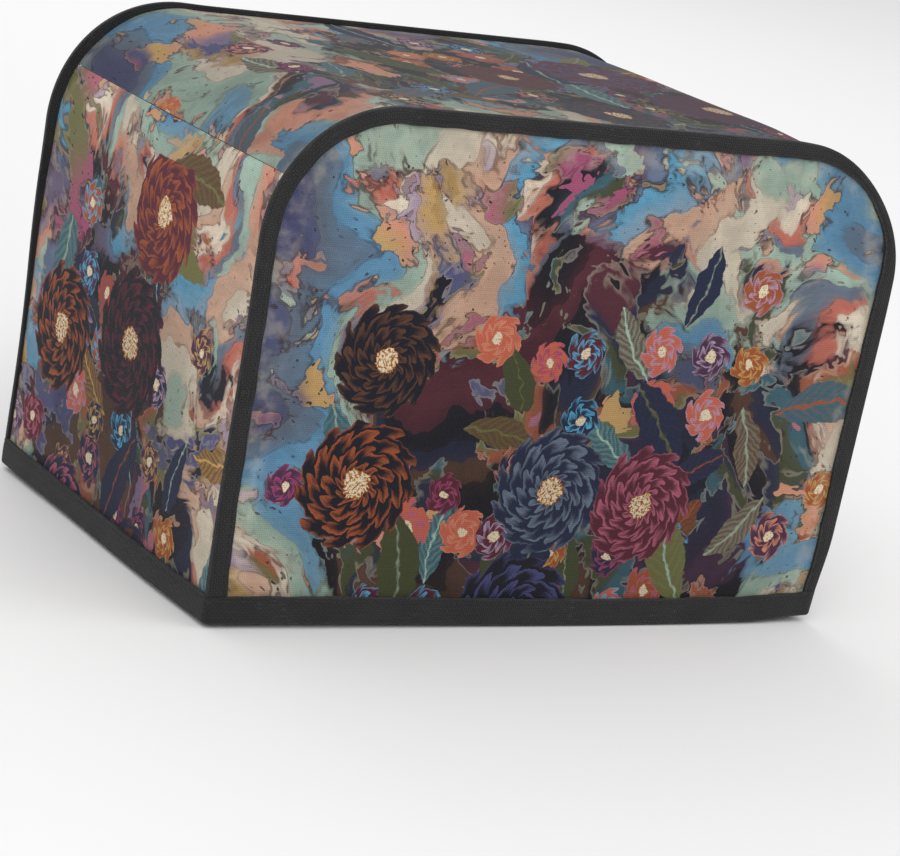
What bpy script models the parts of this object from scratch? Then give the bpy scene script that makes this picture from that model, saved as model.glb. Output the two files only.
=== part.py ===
"""Fitted cloth cover: a hollow box of five cloth panels, bound with dark tape and open below.

The origin is the middle of the flat underside of the top panel, which lies on what the cover
is drawn over. +X runs to the right, +Y to the back and +Z up.

The cover is first described straight, with its hem at height zero: an outline of two sides,
two rounded corners and a top, seen from the front. settle() then gives every piece the same
uneven hang, so that neighbours stay parted by the same small gap.
"""

import math

import bmesh
import bpy

# Outside size over the binding, in metres
WIDTH = 0.305
DEPTH = 0.203
HEIGHT = 0.209
CORNER_RADIUS = 0.0545
HEM_WIDTH = 0.2983
HEM_DEPTH = 0.2018

# Cloth, tape and the gap between neighbouring pieces
CLOTH = 0.0018
TAPE = 0.0013
GAP = 0.0003
PROUD = TAPE + GAP

# Where the top panel is sewn to a side panel: angle up the rounded corner
SEAM_ANGLE = math.radians(28)
# How far the side and top cloth stops behind the face of the front and back panels
EDGE_SET = 0.0007

# The side and top cloth lies inside the binding's outer edge, which stands out as a low fin.
# Places run along the outline from the left hem (0) over the top to the right hem (1).
FLAT_SET = 0.0024
CLOTH_SETS = (
    # place, inset at the front edge, inset at the back edge
    (0.000, 0.0016, 0.0016),
    (0.090, 0.0017, 0.0017),
    (0.190, 0.0020, 0.0034),
    (0.235, 0.0023, 0.0046),
    (0.290, FLAT_SET, 0.0046),
    (0.350, FLAT_SET, FLAT_SET),
    (0.650, FLAT_SET, FLAT_SET),
    (0.780, 0.0020, 0.0024),
    (1.000, 0.0016, 0.0016),
)
# Tape folded over the front and back seams: width on the face, and lap on the cloth behind
BINDINGS = (
    # place, front width, front lap, back width, back lap
    (0.000, 0.0088, 0.0038, 0.0072, 0.0034),
    (0.060, 0.0076, 0.0032, 0.0068, 0.0030),
    (0.150, 0.0070, 0.0029, 0.0066, 0.0029),
    (0.290, 0.0066, 0.0029, 0.0062, 0.0032),
    (0.400, 0.0068, 0.0029, 0.0066, 0.0030),
    (0.600, 0.0074, 0.0032, 0.0064, 0.0029),
    (0.700, 0.0062, 0.0030, 0.0066, 0.0029),
    (0.780, 0.0084, 0.0029, 0.0066, 0.0029),
    (0.880, 0.0092, 0.0029, 0.0066, 0.0029),
    (0.940, 0.0080, 0.0030, 0.0066, 0.0030),
    (1.000, 0.0060, 0.0032, 0.0066, 0.0032),
)
BINDING_ROUND = 0.0011

# Binding of the hem: a folded channel over the cloth's bottom edge
HEM_TALL = 0.0115
HEM_INNER_TALL = 0.0095
HEM_OUTER_PLY = 0.0020
HEM_INNER_PLY = 0.0014
HEM_FLOOR = 0.0014
HEM_ROUND = 0.0032
HEM_SLACK = 0.0004
TAPE_EDGE_ROUND = 0.0004

# How the cloth hangs: outward swell of the faces and sides, waves of the hem
FACE_SWELL = 0.0020
SIDE_SWELL = 0.0016
SWELL_CENTRE = 0.45
HEM_SAG = 0.0010
HEM_WAVE = 0.0006
# Where the hem's waves stand, as angles over half a face or half a side, and their start
FACE_WAVE_ANGLE = 3.3
FACE_WAVE_START = 0.6
SIDE_WAVE_ANGLE = 2.6
SIDE_WAVE_START = 2.0
# Past its ends the flat top gives way to the upward and downward pulls over this width
PULL_EASE = 0.020
# Corners that pull the cloth: from which corner of the box, how far it moves points near it
CORNER_PULLS = (
    # side, face, height, inward across, inward along, upward, reach
    (-1, -1, 0.000, 0.0014, 0.0012, -0.0008, 0.055),
    (1, -1, 0.000, 0.0022, 0.0014, 0.0012, 0.040),
    (-1, 1, 0.000, -0.0022, 0.0004, 0.0000, 0.090),
    (1, 1, 0.000, 0.0016, 0.0014, 0.0010, 0.045),
    (-1, -1, 0.120, 0.0008, 0.0000, 0.0000, 0.090),
    (-1, 1, 0.120, -0.0022, 0.0000, 0.0000, 0.090),
    (-1, 1, 0.209, -0.0022, 0.0000, 0.0016, 0.075),
    (1, -1, 0.209, 0.0026, 0.0000, -0.0026, 0.075),
    (1, 1, 0.209, 0.0014, 0.0000, -0.0014, 0.075),
)

# Finish of the plain materials
CLOTH_ROUGHNESS = 0.85
TAPE_ROUGHNESS = 0.80
CHARCOAL = (0.027, 0.027, 0.028)
FACE_PRINT = (0.16, 0.15, 0.17)
TOP_PRINT = (0.19, 0.18, 0.17)
SIDE_PRINT = (0.20, 0.17, 0.17)
# Edges sharper than this are shaded as edges
SHARP_ANGLE = math.radians(35)

# Steps of the meshes
SIDE_STEPS = 6
SIDE_ARC_STEPS = 3
TOP_ARC_STEPS = 5
ACROSS_STEPS = 13
ALONG_STEPS = 9
ROUND_STEPS = 3

# Heights in the straight cover
SHOULDER = HEIGHT - CORNER_RADIUS
CLOTH_BOTTOM = HEM_FLOOR + GAP
BINDING_BOTTOM = HEM_TALL + GAP
UNDERSIDE = HEIGHT - FLAT_SET - CLOTH
FLAT_HALF = WIDTH / 2 - CORNER_RADIUS
QUARTER = CORNER_RADIUS * math.pi / 2
OUTLINE_LENGTH = 2 * (SHOULDER + QUARTER + FLAT_HALF)
# Half the gap of a side seam, as an angle
HALF_SEAM = GAP / 2 / (CORNER_RADIUS - FLAT_SET - CLOTH)


def smooth(t):
    """Ease from 0 to 1 with level ends."""
    t = min(1.0, max(0.0, t))
    return t * t * (3 - 2 * t)


def ends_close(steps):
    """Places from -1 to 1 that lie closer together towards both ends."""
    return [math.sin(math.pi / 2 * (2 * k / steps - 1)) for k in range(steps + 1)]


def settle(point):
    """Move a point of the straight cover to where it lies in the hanging one."""
    x, y, z = point
    across = x / (WIDTH / 2)
    along = y / (DEPTH / 2)
    low = max(0.0, 1 - z / SHOULDER)

    swell = math.cos(math.pi / 2 * (z / HEIGHT - SWELL_CENTRE) / (1 - SWELL_CENTRE))
    new_x = x * (1 - (1 - HEM_WIDTH / WIDTH) * low)
    new_y = y * (1 - (1 - HEM_DEPTH / DEPTH) * low)
    new_x += SIDE_SWELL * swell * across * (1 - along ** 2)
    new_y += FACE_SWELL * swell * along * (1 - across ** 2)

    wave = -HEM_SAG * (1 - across ** 2)
    wave += HEM_WAVE * math.sin(FACE_WAVE_ANGLE * across + FACE_WAVE_START) * along
    wave += HEM_WAVE * math.sin(SIDE_WAVE_ANGLE * along + SIDE_WAVE_START) * across
    new_z = z + wave * low ** 2

    # The flat top stays level, so that its underside can lie on what it covers
    past_flat = smooth((abs(x) - FLAT_HALF) / PULL_EASE)
    under_flat = smooth((UNDERSIDE - z) / CORNER_RADIUS)
    for side, face, height, across_by, along_by, up_by, reach in CORNER_PULLS:
        corner = (side * WIDTH / 2, face * DEPTH / 2, height)
        weight = smooth(1 - math.dist(point, corner) / reach)
        new_x -= side * across_by * weight
        new_y -= face * along_by * weight
        new_z += up_by * weight * max(past_flat, under_flat)
    return new_x, new_y, new_z - UNDERSIDE


def side_stops(side, bottom, last_angle=SEAM_ANGLE):
    """Stops from a height near the hem up one side and round the corner to the seam."""
    step = (SHOULDER - BINDING_BOTTOM) / SIDE_STEPS
    heights = [BINDING_BOTTOM + step * k for k in range(SIDE_STEPS)]
    if bottom < BINDING_BOTTOM:
        heights.insert(0, bottom)
    angles = [SEAM_ANGLE * k / SIDE_ARC_STEPS for k in range(SIDE_ARC_STEPS)]
    stops = [("side", side, height) for height in heights]
    stops += [("corner", side, angle) for angle in angles]
    return stops + [("corner", side, last_angle)]


def corner_top_stops(side, first_angle=SEAM_ANGLE):
    """Stops from the seam round the corner to where the flat top begins."""
    step = (math.pi / 2 - SEAM_ANGLE) / TOP_ARC_STEPS
    angles = [SEAM_ANGLE + step * k for k in range(1, TOP_ARC_STEPS + 1)]
    return [("corner", side, angle) for angle in [first_angle] + angles]


def flat_top_stops():
    """Stops on the flat top between the two corners."""
    return [("top", 0, FLAT_HALF * place) for place in ends_close(ACROSS_STEPS)[1:-1]]


def outline_stops(bottom):
    """Stops of the whole outline, from the left hem over the top to the right hem."""
    left = side_stops(-1, bottom) + corner_top_stops(-1)[1:]
    right = side_stops(1, bottom) + corner_top_stops(1)[1:]
    return left + flat_top_stops() + right[::-1]


def outline_point(stop, inset):
    """Across and up coordinates of a stop, moved inward from the outline by inset."""
    kind, side, value = stop
    if kind == "side":
        return side * (WIDTH / 2 - inset), value
    if kind == "top":
        return value, HEIGHT - inset
    radius = CORNER_RADIUS - inset
    return side * (FLAT_HALF + radius * math.cos(value)), SHOULDER + radius * math.sin(value)


def place_of(stop):
    """How far along the outline a stop lies, from 0 at the left hem to 1 at the right."""
    kind, side, value = stop
    if kind == "top":
        return (SHOULDER + QUARTER + FLAT_HALF + value) / OUTLINE_LENGTH
    run = value if kind == "side" else SHOULDER + CORNER_RADIUS * value
    return run / OUTLINE_LENGTH if side < 0 else 1 - run / OUTLINE_LENGTH


def read_table(rows, place, column):
    """Read a table's column at a place between its rows."""
    for low, high in zip(rows, rows[1:]):
        if place <= high[0]:
            part = (place - low[0]) / (high[0] - low[0])
            return low[column] + (high[column] - low[column]) * part
    return rows[-1][column]


def finish_object(name, mesh_data, colour, roughness):
    """Put a bmesh into a new named object with its own material."""
    bmesh.ops.recalc_face_normals(mesh_data, faces=mesh_data.faces)
    mesh = bpy.data.meshes.new(name)
    mesh_data.to_mesh(mesh)
    mesh_data.free()
    mesh.shade_smooth()
    mesh.set_sharp_from_angle(angle=SHARP_ANGLE)
    part = bpy.data.objects.new(name, mesh)
    bpy.context.collection.objects.link(part)

    material = bpy.data.materials.new(name)
    material.use_nodes = True
    shader = material.node_tree.nodes["Principled BSDF"]
    shader.inputs["Base Color"].default_value = (*colour, 1)
    shader.inputs["Roughness"].default_value = roughness
    shader.inputs["Metallic"].default_value = 0
    mesh.materials.append(material)
    return part


def closed_rings(rings, is_loop):
    """Join rings of points into one closed body; a run that is no loop gets end caps."""
    mesh_data = bmesh.new()
    corners = [[mesh_data.verts.new(settle(p)) for p in ring] for ring in rings]
    pairs = list(zip(corners, corners[1:]))
    if is_loop:
        pairs.append((corners[-1], corners[0]))
    for first, second in pairs:
        for k in range(len(first)):
            after = (k + 1) % len(first)
            mesh_data.faces.new((first[k], first[after], second[after], second[k]))
    if not is_loop:
        mesh_data.faces.new(corners[0])
        mesh_data.faces.new(corners[-1])
    return mesh_data


def cloth_body(outer_rows, inner_rows):
    """Close two matching grids of points into one sheet of cloth."""
    rings = []
    for outer, inner in zip(outer_rows, inner_rows):
        rings.append(outer + inner[::-1])
    mesh_data = closed_rings(rings, is_loop=False)
    # The two end caps are long strips, so they are cut across between their two sides
    for face in [f for f in mesh_data.faces if len(f.verts) > 4]:
        ring = list(face.verts)
        mesh_data.faces.remove(face)
        count = len(ring) // 2
        for k in range(count - 1):
            mesh_data.faces.new((ring[k], ring[k + 1], ring[-k - 2], ring[-k - 1]))
    return mesh_data


def cloth_set(stop, along):
    """Inset of the side and top cloth at a stop; along runs from -1 at the front to 1."""
    place = place_of(stop)
    front = read_table(CLOTH_SETS, place, 1)
    back = read_table(CLOTH_SETS, place, 2)
    return front + (back - front) * (along + 1) / 2


def face_panel(name, face, colour):
    """Front (-1) or back (1) panel: flat hem, straight sides and two rounded top corners."""
    outer_y = face * (DEPTH / 2 - PROUD)
    inner_y = face * (DEPTH / 2 - PROUD - CLOTH)
    right_stops = side_stops(1, CLOTH_BOTTOM) + corner_top_stops(1)[1:]
    left_stops = side_stops(-1, CLOTH_BOTTOM) + corner_top_stops(-1)[1:]
    outer_rows = []
    inner_rows = []
    for left_stop, right_stop in zip(left_stops, right_stops):
        left_x, left_z = outline_point(left_stop, cloth_set(left_stop, face) + CLOTH + GAP)
        right_x, right_z = outline_point(right_stop, cloth_set(right_stop, face) + CLOTH + GAP)
        parts = [(place + 1) / 2 for place in ends_close(ACROSS_STEPS)]
        row = [(left_x + (right_x - left_x) * t, left_z + (right_z - left_z) * t) for t in parts]
        outer_rows.append([(x, outer_y, z) for x, z in row])
        inner_rows.append([(x, inner_y, z) for x, z in row])
    return finish_object(name, cloth_body(outer_rows, inner_rows), colour, CLOTH_ROUGHNESS)


def gusset_panel(name, stops, colour):
    """Cloth between the front and back panels, along a run of stops."""
    half_depth = DEPTH / 2 - PROUD - EDGE_SET
    # The inside is narrower, so that it alone lies on what the cover is drawn over
    inner_half = DEPTH / 2 - PROUD - CLOTH - GAP
    outer_rows = []
    inner_rows = []
    for stop in stops:
        outer_row = []
        inner_row = []
        for along in ends_close(ALONG_STEPS):
            inset = cloth_set(stop, along)
            outer_x, outer_z = outline_point(stop, inset)
            inner_x, inner_z = outline_point(stop, inset + CLOTH)
            outer_row.append((outer_x, half_depth * along, outer_z))
            inner_row.append((inner_x, inner_half * along, inner_z))
        outer_rows.append(outer_row)
        inner_rows.append(inner_row)
    return finish_object(name, cloth_body(outer_rows, inner_rows), colour, CLOTH_ROUGHNESS)


def side_panel(name, side, colour):
    """Side panel from the hem up to the seam on the rounded corner."""
    return gusset_panel(name, side_stops(side, CLOTH_BOTTOM, SEAM_ANGLE - HALF_SEAM), colour)


def top_panel(name, colour):
    """Top panel over both rounded corners, from seam to seam."""
    left = corner_top_stops(-1, SEAM_ANGLE + HALF_SEAM)
    right = corner_top_stops(1, SEAM_ANGLE + HALF_SEAM)
    return gusset_panel(name, left + flat_top_stops() + right[::-1], colour)


def binding_section(width, lap, side_ply):
    """Angle section of a seam binding: inset from the outline, depth from the face.

    width lies on the face, lap on the cloth behind, and side_ply is how thick the fin is.
    """
    rounding = []
    for k in range(1, ROUND_STEPS):
        angle = math.pi / 2 * k / ROUND_STEPS
        back_off = BINDING_ROUND * (1 - math.sin(angle))
        rounding.append((back_off, BINDING_ROUND * (1 - math.cos(angle))))
    return [
        (width, TAPE_EDGE_ROUND),
        (width - TAPE_EDGE_ROUND, 0.0),
        (BINDING_ROUND, 0.0),
        *rounding,
        (0.0, BINDING_ROUND),
        (0.0, lap - TAPE_EDGE_ROUND),
        (TAPE_EDGE_ROUND, lap),
        (side_ply, lap),
        (side_ply, TAPE),
        (width, TAPE),
    ]


def seam_binding(name, face, colour):
    """Tape folded over the seam round the front (-1) or back (1) panel, hem to hem."""
    width_column = 1 if face < 0 else 3
    rings = []
    for stop in outline_stops(BINDING_BOTTOM):
        place = place_of(stop)
        width = read_table(BINDINGS, place, width_column)
        lap = read_table(BINDINGS, place, width_column + 1)
        ring = []
        for inset, depth in binding_section(width, lap, cloth_set(stop, face) - GAP):
            x, z = outline_point(stop, inset)
            ring.append((x, face * (DEPTH / 2 - depth), z))
        rings.append(ring)
    return finish_object(name, closed_rings(rings, is_loop=False), colour, TAPE_ROUGHNESS)


def hem_path(inset):
    """Rounded rectangle in plan, moved inward by inset from the hem's outer face."""
    half_x = WIDTH / 2 - PROUD + GAP + HEM_OUTER_PLY - inset
    half_y = DEPTH / 2 - PROUD + GAP + HEM_OUTER_PLY - inset
    radius = max(HEM_ROUND - inset, TAPE_EDGE_ROUND)
    front = [place * (WIDTH / 2 - HEM_ROUND) for place in ends_close(ACROSS_STEPS)[1:-1]]
    side = [place * (DEPTH / 2 - HEM_ROUND) for place in ends_close(ALONG_STEPS)[1:-1]]
    runs = (
        # corner's side and face, angle where it begins, then the straight run after it
        (1, -1, -math.pi / 2, [(half_x, y) for y in side]),
        (1, 1, 0.0, [(x, half_y) for x in front[::-1]]),
        (-1, 1, math.pi / 2, [(-half_x, y) for y in side[::-1]]),
        (-1, -1, math.pi, [(x, -half_y) for x in front]),
    )
    path = []
    for side_sign, face_sign, start, straight in runs:
        centre_x = side_sign * (half_x - radius)
        centre_y = face_sign * (half_y - radius)
        for k in range(ROUND_STEPS + 1):
            angle = start + math.pi / 2 * k / ROUND_STEPS
            path.append((centre_x + radius * math.cos(angle), centre_y + radius * math.sin(angle)))
        path += straight
    return path


def hem_section():
    """Folded channel of the hem binding: inset from its outer face and height."""
    inner_face = HEM_OUTER_PLY + GAP + CLOTH + HEM_SLACK
    inside = inner_face + HEM_INNER_PLY
    return [
        (TAPE_EDGE_ROUND, 0.0),
        (0.0, TAPE_EDGE_ROUND),
        (0.0, HEM_TALL - TAPE_EDGE_ROUND),
        (TAPE_EDGE_ROUND, HEM_TALL),
        (HEM_OUTER_PLY, HEM_TALL),
        (HEM_OUTER_PLY, HEM_FLOOR),
        (inner_face, HEM_FLOOR),
        (inner_face, HEM_INNER_TALL),
        (inside, HEM_INNER_TALL),
        (inside, TAPE_EDGE_ROUND),
        (inside - TAPE_EDGE_ROUND, 0.0),
    ]


def hem_binding(name, colour):
    """Tape folded over the bottom edge, all round."""
    rings = [[] for _ in hem_path(0.0)]
    for inset, height in hem_section():
        for ring, (x, y) in zip(rings, hem_path(inset)):
            ring.append((x, y, height))
    return finish_object(name, closed_rings(rings, is_loop=True), colour, TAPE_ROUGHNESS)


def main():
    """Clear the scene and build the eight pieces."""
    for leftover in list(bpy.data.objects):
        bpy.data.objects.remove(leftover)
    face_panel("front_panel", -1, FACE_PRINT)
    face_panel("back_panel", 1, FACE_PRINT)
    top_panel("top_panel", TOP_PRINT)
    side_panel("left_side_panel", -1, SIDE_PRINT)
    side_panel("right_side_panel", 1, SIDE_PRINT)
    seam_binding("front_binding", -1, CHARCOAL)
    seam_binding("back_binding", 1, CHARCOAL)
    hem_binding("hem_binding", CHARCOAL)


main()
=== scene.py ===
"""The looks of a fitted cloth cover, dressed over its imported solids.

Sizes are metres in the frame of the solids: +X to the right, +Y to the back and +Z up, with the
origin in the middle of the underside of the top panel. Every piece is first laid out on the
straight cover, whose hem is at height zero, and CoverShape.settle() then gives it the uneven
hang that the solids have.
"""

import logging
import math
from dataclasses import dataclass, field
from enum import Enum
from typing import Callable, NamedTuple

import bpy
from mathutils import Matrix, Vector

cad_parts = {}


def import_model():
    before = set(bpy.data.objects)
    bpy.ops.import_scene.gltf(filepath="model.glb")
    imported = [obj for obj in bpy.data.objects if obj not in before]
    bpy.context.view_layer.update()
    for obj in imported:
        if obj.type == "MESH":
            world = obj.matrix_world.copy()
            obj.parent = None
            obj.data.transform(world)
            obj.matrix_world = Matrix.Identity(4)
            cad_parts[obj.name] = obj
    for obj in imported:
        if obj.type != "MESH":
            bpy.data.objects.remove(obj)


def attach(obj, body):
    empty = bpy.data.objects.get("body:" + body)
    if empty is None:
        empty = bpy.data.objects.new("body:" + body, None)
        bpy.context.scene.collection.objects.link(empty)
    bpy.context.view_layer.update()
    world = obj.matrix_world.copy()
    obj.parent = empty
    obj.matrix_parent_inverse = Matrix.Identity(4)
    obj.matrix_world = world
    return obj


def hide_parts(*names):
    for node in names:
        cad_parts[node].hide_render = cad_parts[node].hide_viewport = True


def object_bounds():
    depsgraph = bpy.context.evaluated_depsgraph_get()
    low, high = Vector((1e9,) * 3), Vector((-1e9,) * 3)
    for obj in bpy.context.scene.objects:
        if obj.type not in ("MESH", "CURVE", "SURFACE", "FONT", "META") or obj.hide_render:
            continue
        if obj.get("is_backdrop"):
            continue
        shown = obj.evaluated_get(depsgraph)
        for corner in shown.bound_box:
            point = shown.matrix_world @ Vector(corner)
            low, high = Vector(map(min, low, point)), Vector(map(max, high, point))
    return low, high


log = logging.getLogger("fitted_cover")

FLAT_CLOTH = "flat_cloth"
EDGE_NEAR = "edge_near"
SHARP_ANGLE = math.radians(50)

# Distance between points of the cloth, its thickness, and the height that the hem tape hides
CLOTH_SPACING = 0.0021
CLOTH_THICKNESS = 0.0012
HEM_COVER = 0.0125
# Distance of the stitches from the tape's inner or top edge, and how deep they lie in it
SEAM_STITCHES = (0.0016, 0.00026)
HEM_STITCHES = (0.0017, 0.00022)

Point = tuple[float, float, float]
Flat = tuple[float, float]
Colour = tuple[float, float, float]
Socket = bpy.types.NodeSocket
Tree = bpy.types.NodeTree
Material = bpy.types.Material
Piece = bpy.types.Object


def smooth(share: float) -> float:
    """Ease from 0 to 1 with level ends."""
    share = min(1.0, max(0.0, share))
    return share * share * (3 - 2 * share)


def spread(low: float, high: float, spacing: float) -> list[float]:
    """Evenly spaced values from low to high, about spacing apart.

    Args:
        low: The first value.
        high: The last value.
        spacing: The step that is wanted.

    Returns:
        The values, both ends included.
    """
    steps = max(1, round(abs(high - low) / spacing))
    return [low + (high - low) * k / steps for k in range(steps + 1)]


def paint(red: int, green: int, blue: int) -> Colour:
    """Turn a colour as a screen shows it, 0 to 255, into a shader's linear one."""
    return tuple((part / 255 / 12.92) if part <= 10 else ((part / 255 + 0.055) / 1.055) ** 2.4
                 for part in (red, green, blue))


class Run(Enum):
    """The straight and round runs of the cover's outline, seen from the front."""

    SIDE = "side"
    CORNER = "corner"
    TOP = "top"


class Stop(NamedTuple):
    """A place on the outline: a height on a side, an angle on a corner, or an X on the top."""

    run: Run
    side: int
    value: float


@dataclass(frozen=True)
class CoverShape:
    """Sizes of the straight cover and of its hang, and the functions that lay pieces on it."""

    width: float = 0.305
    depth: float = 0.203
    height: float = 0.209
    corner_radius: float = 0.0545
    hem_width: float = 0.2983
    hem_depth: float = 0.2018
    cloth_room: float = 0.0018
    tape: float = 0.0013
    gap: float = 0.0003
    seam_angle: float = math.radians(28)
    edge_set: float = 0.0007
    flat_set: float = 0.0024
    cloth_bottom: float = 0.0017
    binding_bottom: float = 0.0114
    face_swell: float = 0.0020
    side_swell: float = 0.0016
    swell_centre: float = 0.45
    hem_sag: float = 0.0010
    hem_wave: float = 0.0006
    face_wave: Flat = (3.3, 0.6)
    side_wave: Flat = (2.6, 2.0)
    pull_start: float = 0.080
    pull_ease: float = 0.020
    # Place along the outline, inset of the cloth at the front edge and at the back edge
    cloth_sets: tuple[tuple[float, float, float], ...] = (
        (0.000, 0.0016, 0.0016),
        (0.090, 0.0017, 0.0017),
        (0.190, 0.0020, 0.0034),
        (0.235, 0.0023, 0.0046),
        (0.290, 0.0024, 0.0046),
        (0.350, 0.0024, 0.0024),
        (0.650, 0.0024, 0.0024),
        (0.780, 0.0020, 0.0024),
        (1.000, 0.0016, 0.0016),
    )
    # Place, front width on the face, front lap, back width, back lap
    bindings: tuple[tuple[float, ...], ...] = (
        (0.000, 0.0088, 0.0038, 0.0072, 0.0034),
        (0.060, 0.0076, 0.0032, 0.0068, 0.0030),
        (0.150, 0.0070, 0.0029, 0.0066, 0.0029),
        (0.290, 0.0066, 0.0029, 0.0062, 0.0032),
        (0.400, 0.0068, 0.0029, 0.0066, 0.0030),
        (0.600, 0.0074, 0.0032, 0.0064, 0.0029),
        (0.660, 0.0066, 0.0030, 0.0066, 0.0029),
        (0.700, 0.0050, 0.0030, 0.0066, 0.0029),
        (0.735, 0.0054, 0.0030, 0.0066, 0.0029),
        (0.780, 0.0084, 0.0029, 0.0066, 0.0029),
        (0.880, 0.0092, 0.0029, 0.0066, 0.0029),
        (0.940, 0.0080, 0.0030, 0.0066, 0.0030),
        (1.000, 0.0060, 0.0032, 0.0066, 0.0032),
    )
    # Corners that pull the cloth: side, face, height, inward across, inward along, up, reach
    corner_pulls: tuple[tuple[float, ...], ...] = (
        (-1, -1, 0.000, 0.0014, 0.0012, -0.0008, 0.055),
        (1, -1, 0.000, 0.0022, 0.0014, 0.0012, 0.040),
        (-1, 1, 0.000, -0.0022, 0.0004, 0.0000, 0.090),
        (1, 1, 0.000, 0.0016, 0.0014, 0.0010, 0.045),
        (-1, -1, 0.120, 0.0008, 0.0000, 0.0000, 0.090),
        (-1, 1, 0.120, -0.0022, 0.0000, 0.0000, 0.090),
        (-1, 1, 0.209, -0.0022, 0.0000, 0.0016, 0.075),
        (1, -1, 0.209, 0.0026, 0.0000, -0.0044, 0.075),
        (1, 1, 0.209, 0.0014, 0.0000, -0.0014, 0.075),
    )

    @property
    def shoulder(self) -> float:
        """Height at which the sides begin to round over."""
        return self.height - self.corner_radius

    @property
    def flat_half(self) -> float:
        """Half the width of the flat top."""
        return self.width / 2 - self.corner_radius

    @property
    def proud(self) -> float:
        """How far the tape stands in front of the cloth."""
        return self.tape + self.gap

    @property
    def underside(self) -> float:
        """Height of the underside of the top panel."""
        return self.height - self.flat_set - self.cloth_room

    @property
    def outline_length(self) -> float:
        """Length of the outline from the left hem over the top to the right hem."""
        return 2 * (self.shoulder + self.corner_radius * math.pi / 2 + self.flat_half)

    @property
    def half_seam(self) -> float:
        """Half the gap of a side seam, as an angle."""
        return self.gap / 2 / (self.corner_radius - self.flat_set - self.cloth_room)

    def settle(self, point: Point) -> Point:
        """Move a point of the straight cover to where it lies in the hanging one.

        Args:
            point: Across, along and up, with the hem at height zero.

        Returns:
            The point in the frame of the solids.
        """
        x, y, z = point
        across = x / (self.width / 2)
        along = y / (self.depth / 2)
        low = max(0.0, 1 - z / self.shoulder)
        swell_reach = 1 - self.swell_centre
        swell = math.cos(math.pi / 2 * (z / self.height - self.swell_centre) / swell_reach)
        new_x = x * (1 - (1 - self.hem_width / self.width) * low)
        new_y = y * (1 - (1 - self.hem_depth / self.depth) * low)
        new_x += self.side_swell * swell * across * (1 - along ** 2)
        new_y += self.face_swell * swell * along * (1 - across ** 2)

        face_angle = self.face_wave[0] * across + self.face_wave[1]
        side_angle = self.side_wave[0] * along + self.side_wave[1]
        wave = -self.hem_sag * (1 - across ** 2)
        wave += self.hem_wave * (math.sin(face_angle) * along + math.sin(side_angle) * across)
        new_z = z + wave * low ** 2

        past_flat = smooth((abs(x) - self.pull_start) / self.pull_ease)
        under_flat = smooth((self.underside - z) / self.corner_radius)
        for side, face, height, across_by, along_by, up_by, reach in self.corner_pulls:
            corner = (side * self.width / 2, face * self.depth / 2, height)
            weight = smooth(1 - math.dist(point, corner) / reach)
            new_x -= side * across_by * weight
            new_y -= face * along_by * weight
            new_z += up_by * weight * max(past_flat, under_flat)
        return new_x, new_y, new_z - self.underside

    def side_stops(self, side: int, bottom: float, spacing: float, last: float) -> list[Stop]:
        """Stops up one side and round the corner.

        Args:
            side: -1 for the left and 1 for the right.
            bottom: Height of the first stop.
            spacing: Distance between stops.
            last: Angle of the last stop on the corner.

        Returns:
            The stops from the bottom up.
        """
        heights = spread(bottom, self.shoulder, spacing)[:-1]
        angles = spread(0.0, last, spacing / self.corner_radius)
        stops = [Stop(Run.SIDE, side, height) for height in heights]
        return stops + [Stop(Run.CORNER, side, angle) for angle in angles]

    def over_top(self, first: float, spacing: float) -> list[Stop]:
        """Stops from an angle on the left corner, over the top, to that angle on the right."""
        angles = spread(first, math.pi / 2, spacing / self.corner_radius)
        across = spread(-self.flat_half, self.flat_half, spacing)[1:-1]
        left = [Stop(Run.CORNER, -1, angle) for angle in angles]
        right = [Stop(Run.CORNER, 1, angle) for angle in angles[::-1]]
        return left + [Stop(Run.TOP, 0, x) for x in across] + right

    def whole_outline(self, bottom: float, spacing: float) -> list[Stop]:
        """Stops from one hem over the top to the other, from a height above the hem."""
        left = self.side_stops(-1, bottom, spacing, self.seam_angle)
        right = self.side_stops(1, bottom, spacing, self.seam_angle)
        return left[:-1] + self.over_top(self.seam_angle, spacing) + right[-2::-1]

    def outline_point(self, stop: Stop, inset: float) -> Flat:
        """Across and up coordinates of a stop, moved inward from the outline by inset."""
        if stop.run is Run.SIDE:
            return stop.side * (self.width / 2 - inset), stop.value
        if stop.run is Run.TOP:
            return stop.value, self.height - inset
        radius = self.corner_radius - inset
        across = self.flat_half + radius * math.cos(stop.value)
        return stop.side * across, self.shoulder + radius * math.sin(stop.value)

    def run_of(self, stop: Stop) -> float:
        """Distance of a stop along the outline from the left hem."""
        if stop.run is Run.TOP:
            return self.outline_length / 2 + stop.value
        run = stop.value if stop.run is Run.SIDE else self.shoulder + self.corner_radius * stop.value
        return run if stop.side < 0 else self.outline_length - run

    def read(self, rows: tuple[tuple[float, ...], ...], stop: Stop, column: int) -> float:
        """Read a column of a table at a stop, easing from row to row.

        Args:
            rows: The table, whose first column is the place along the outline.
            stop: Where it is read.
            column: Which column.

        Returns:
            The value there.
        """
        place = self.run_of(stop) / self.outline_length
        for low, high in zip(rows, rows[1:]):
            if place <= high[0]:
                part = (place - low[0]) / (high[0] - low[0])
                return low[column] + (high[column] - low[column]) * part
        return rows[-1][column]

    def cloth_set(self, stop: Stop, along: float) -> float:
        """Inset of the side and top cloth at a stop, along from -1 at the front to 1."""
        front = self.read(self.cloth_sets, stop, 1)
        back = self.read(self.cloth_sets, stop, 2)
        return front + (back - front) * (along + 1) / 2


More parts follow.
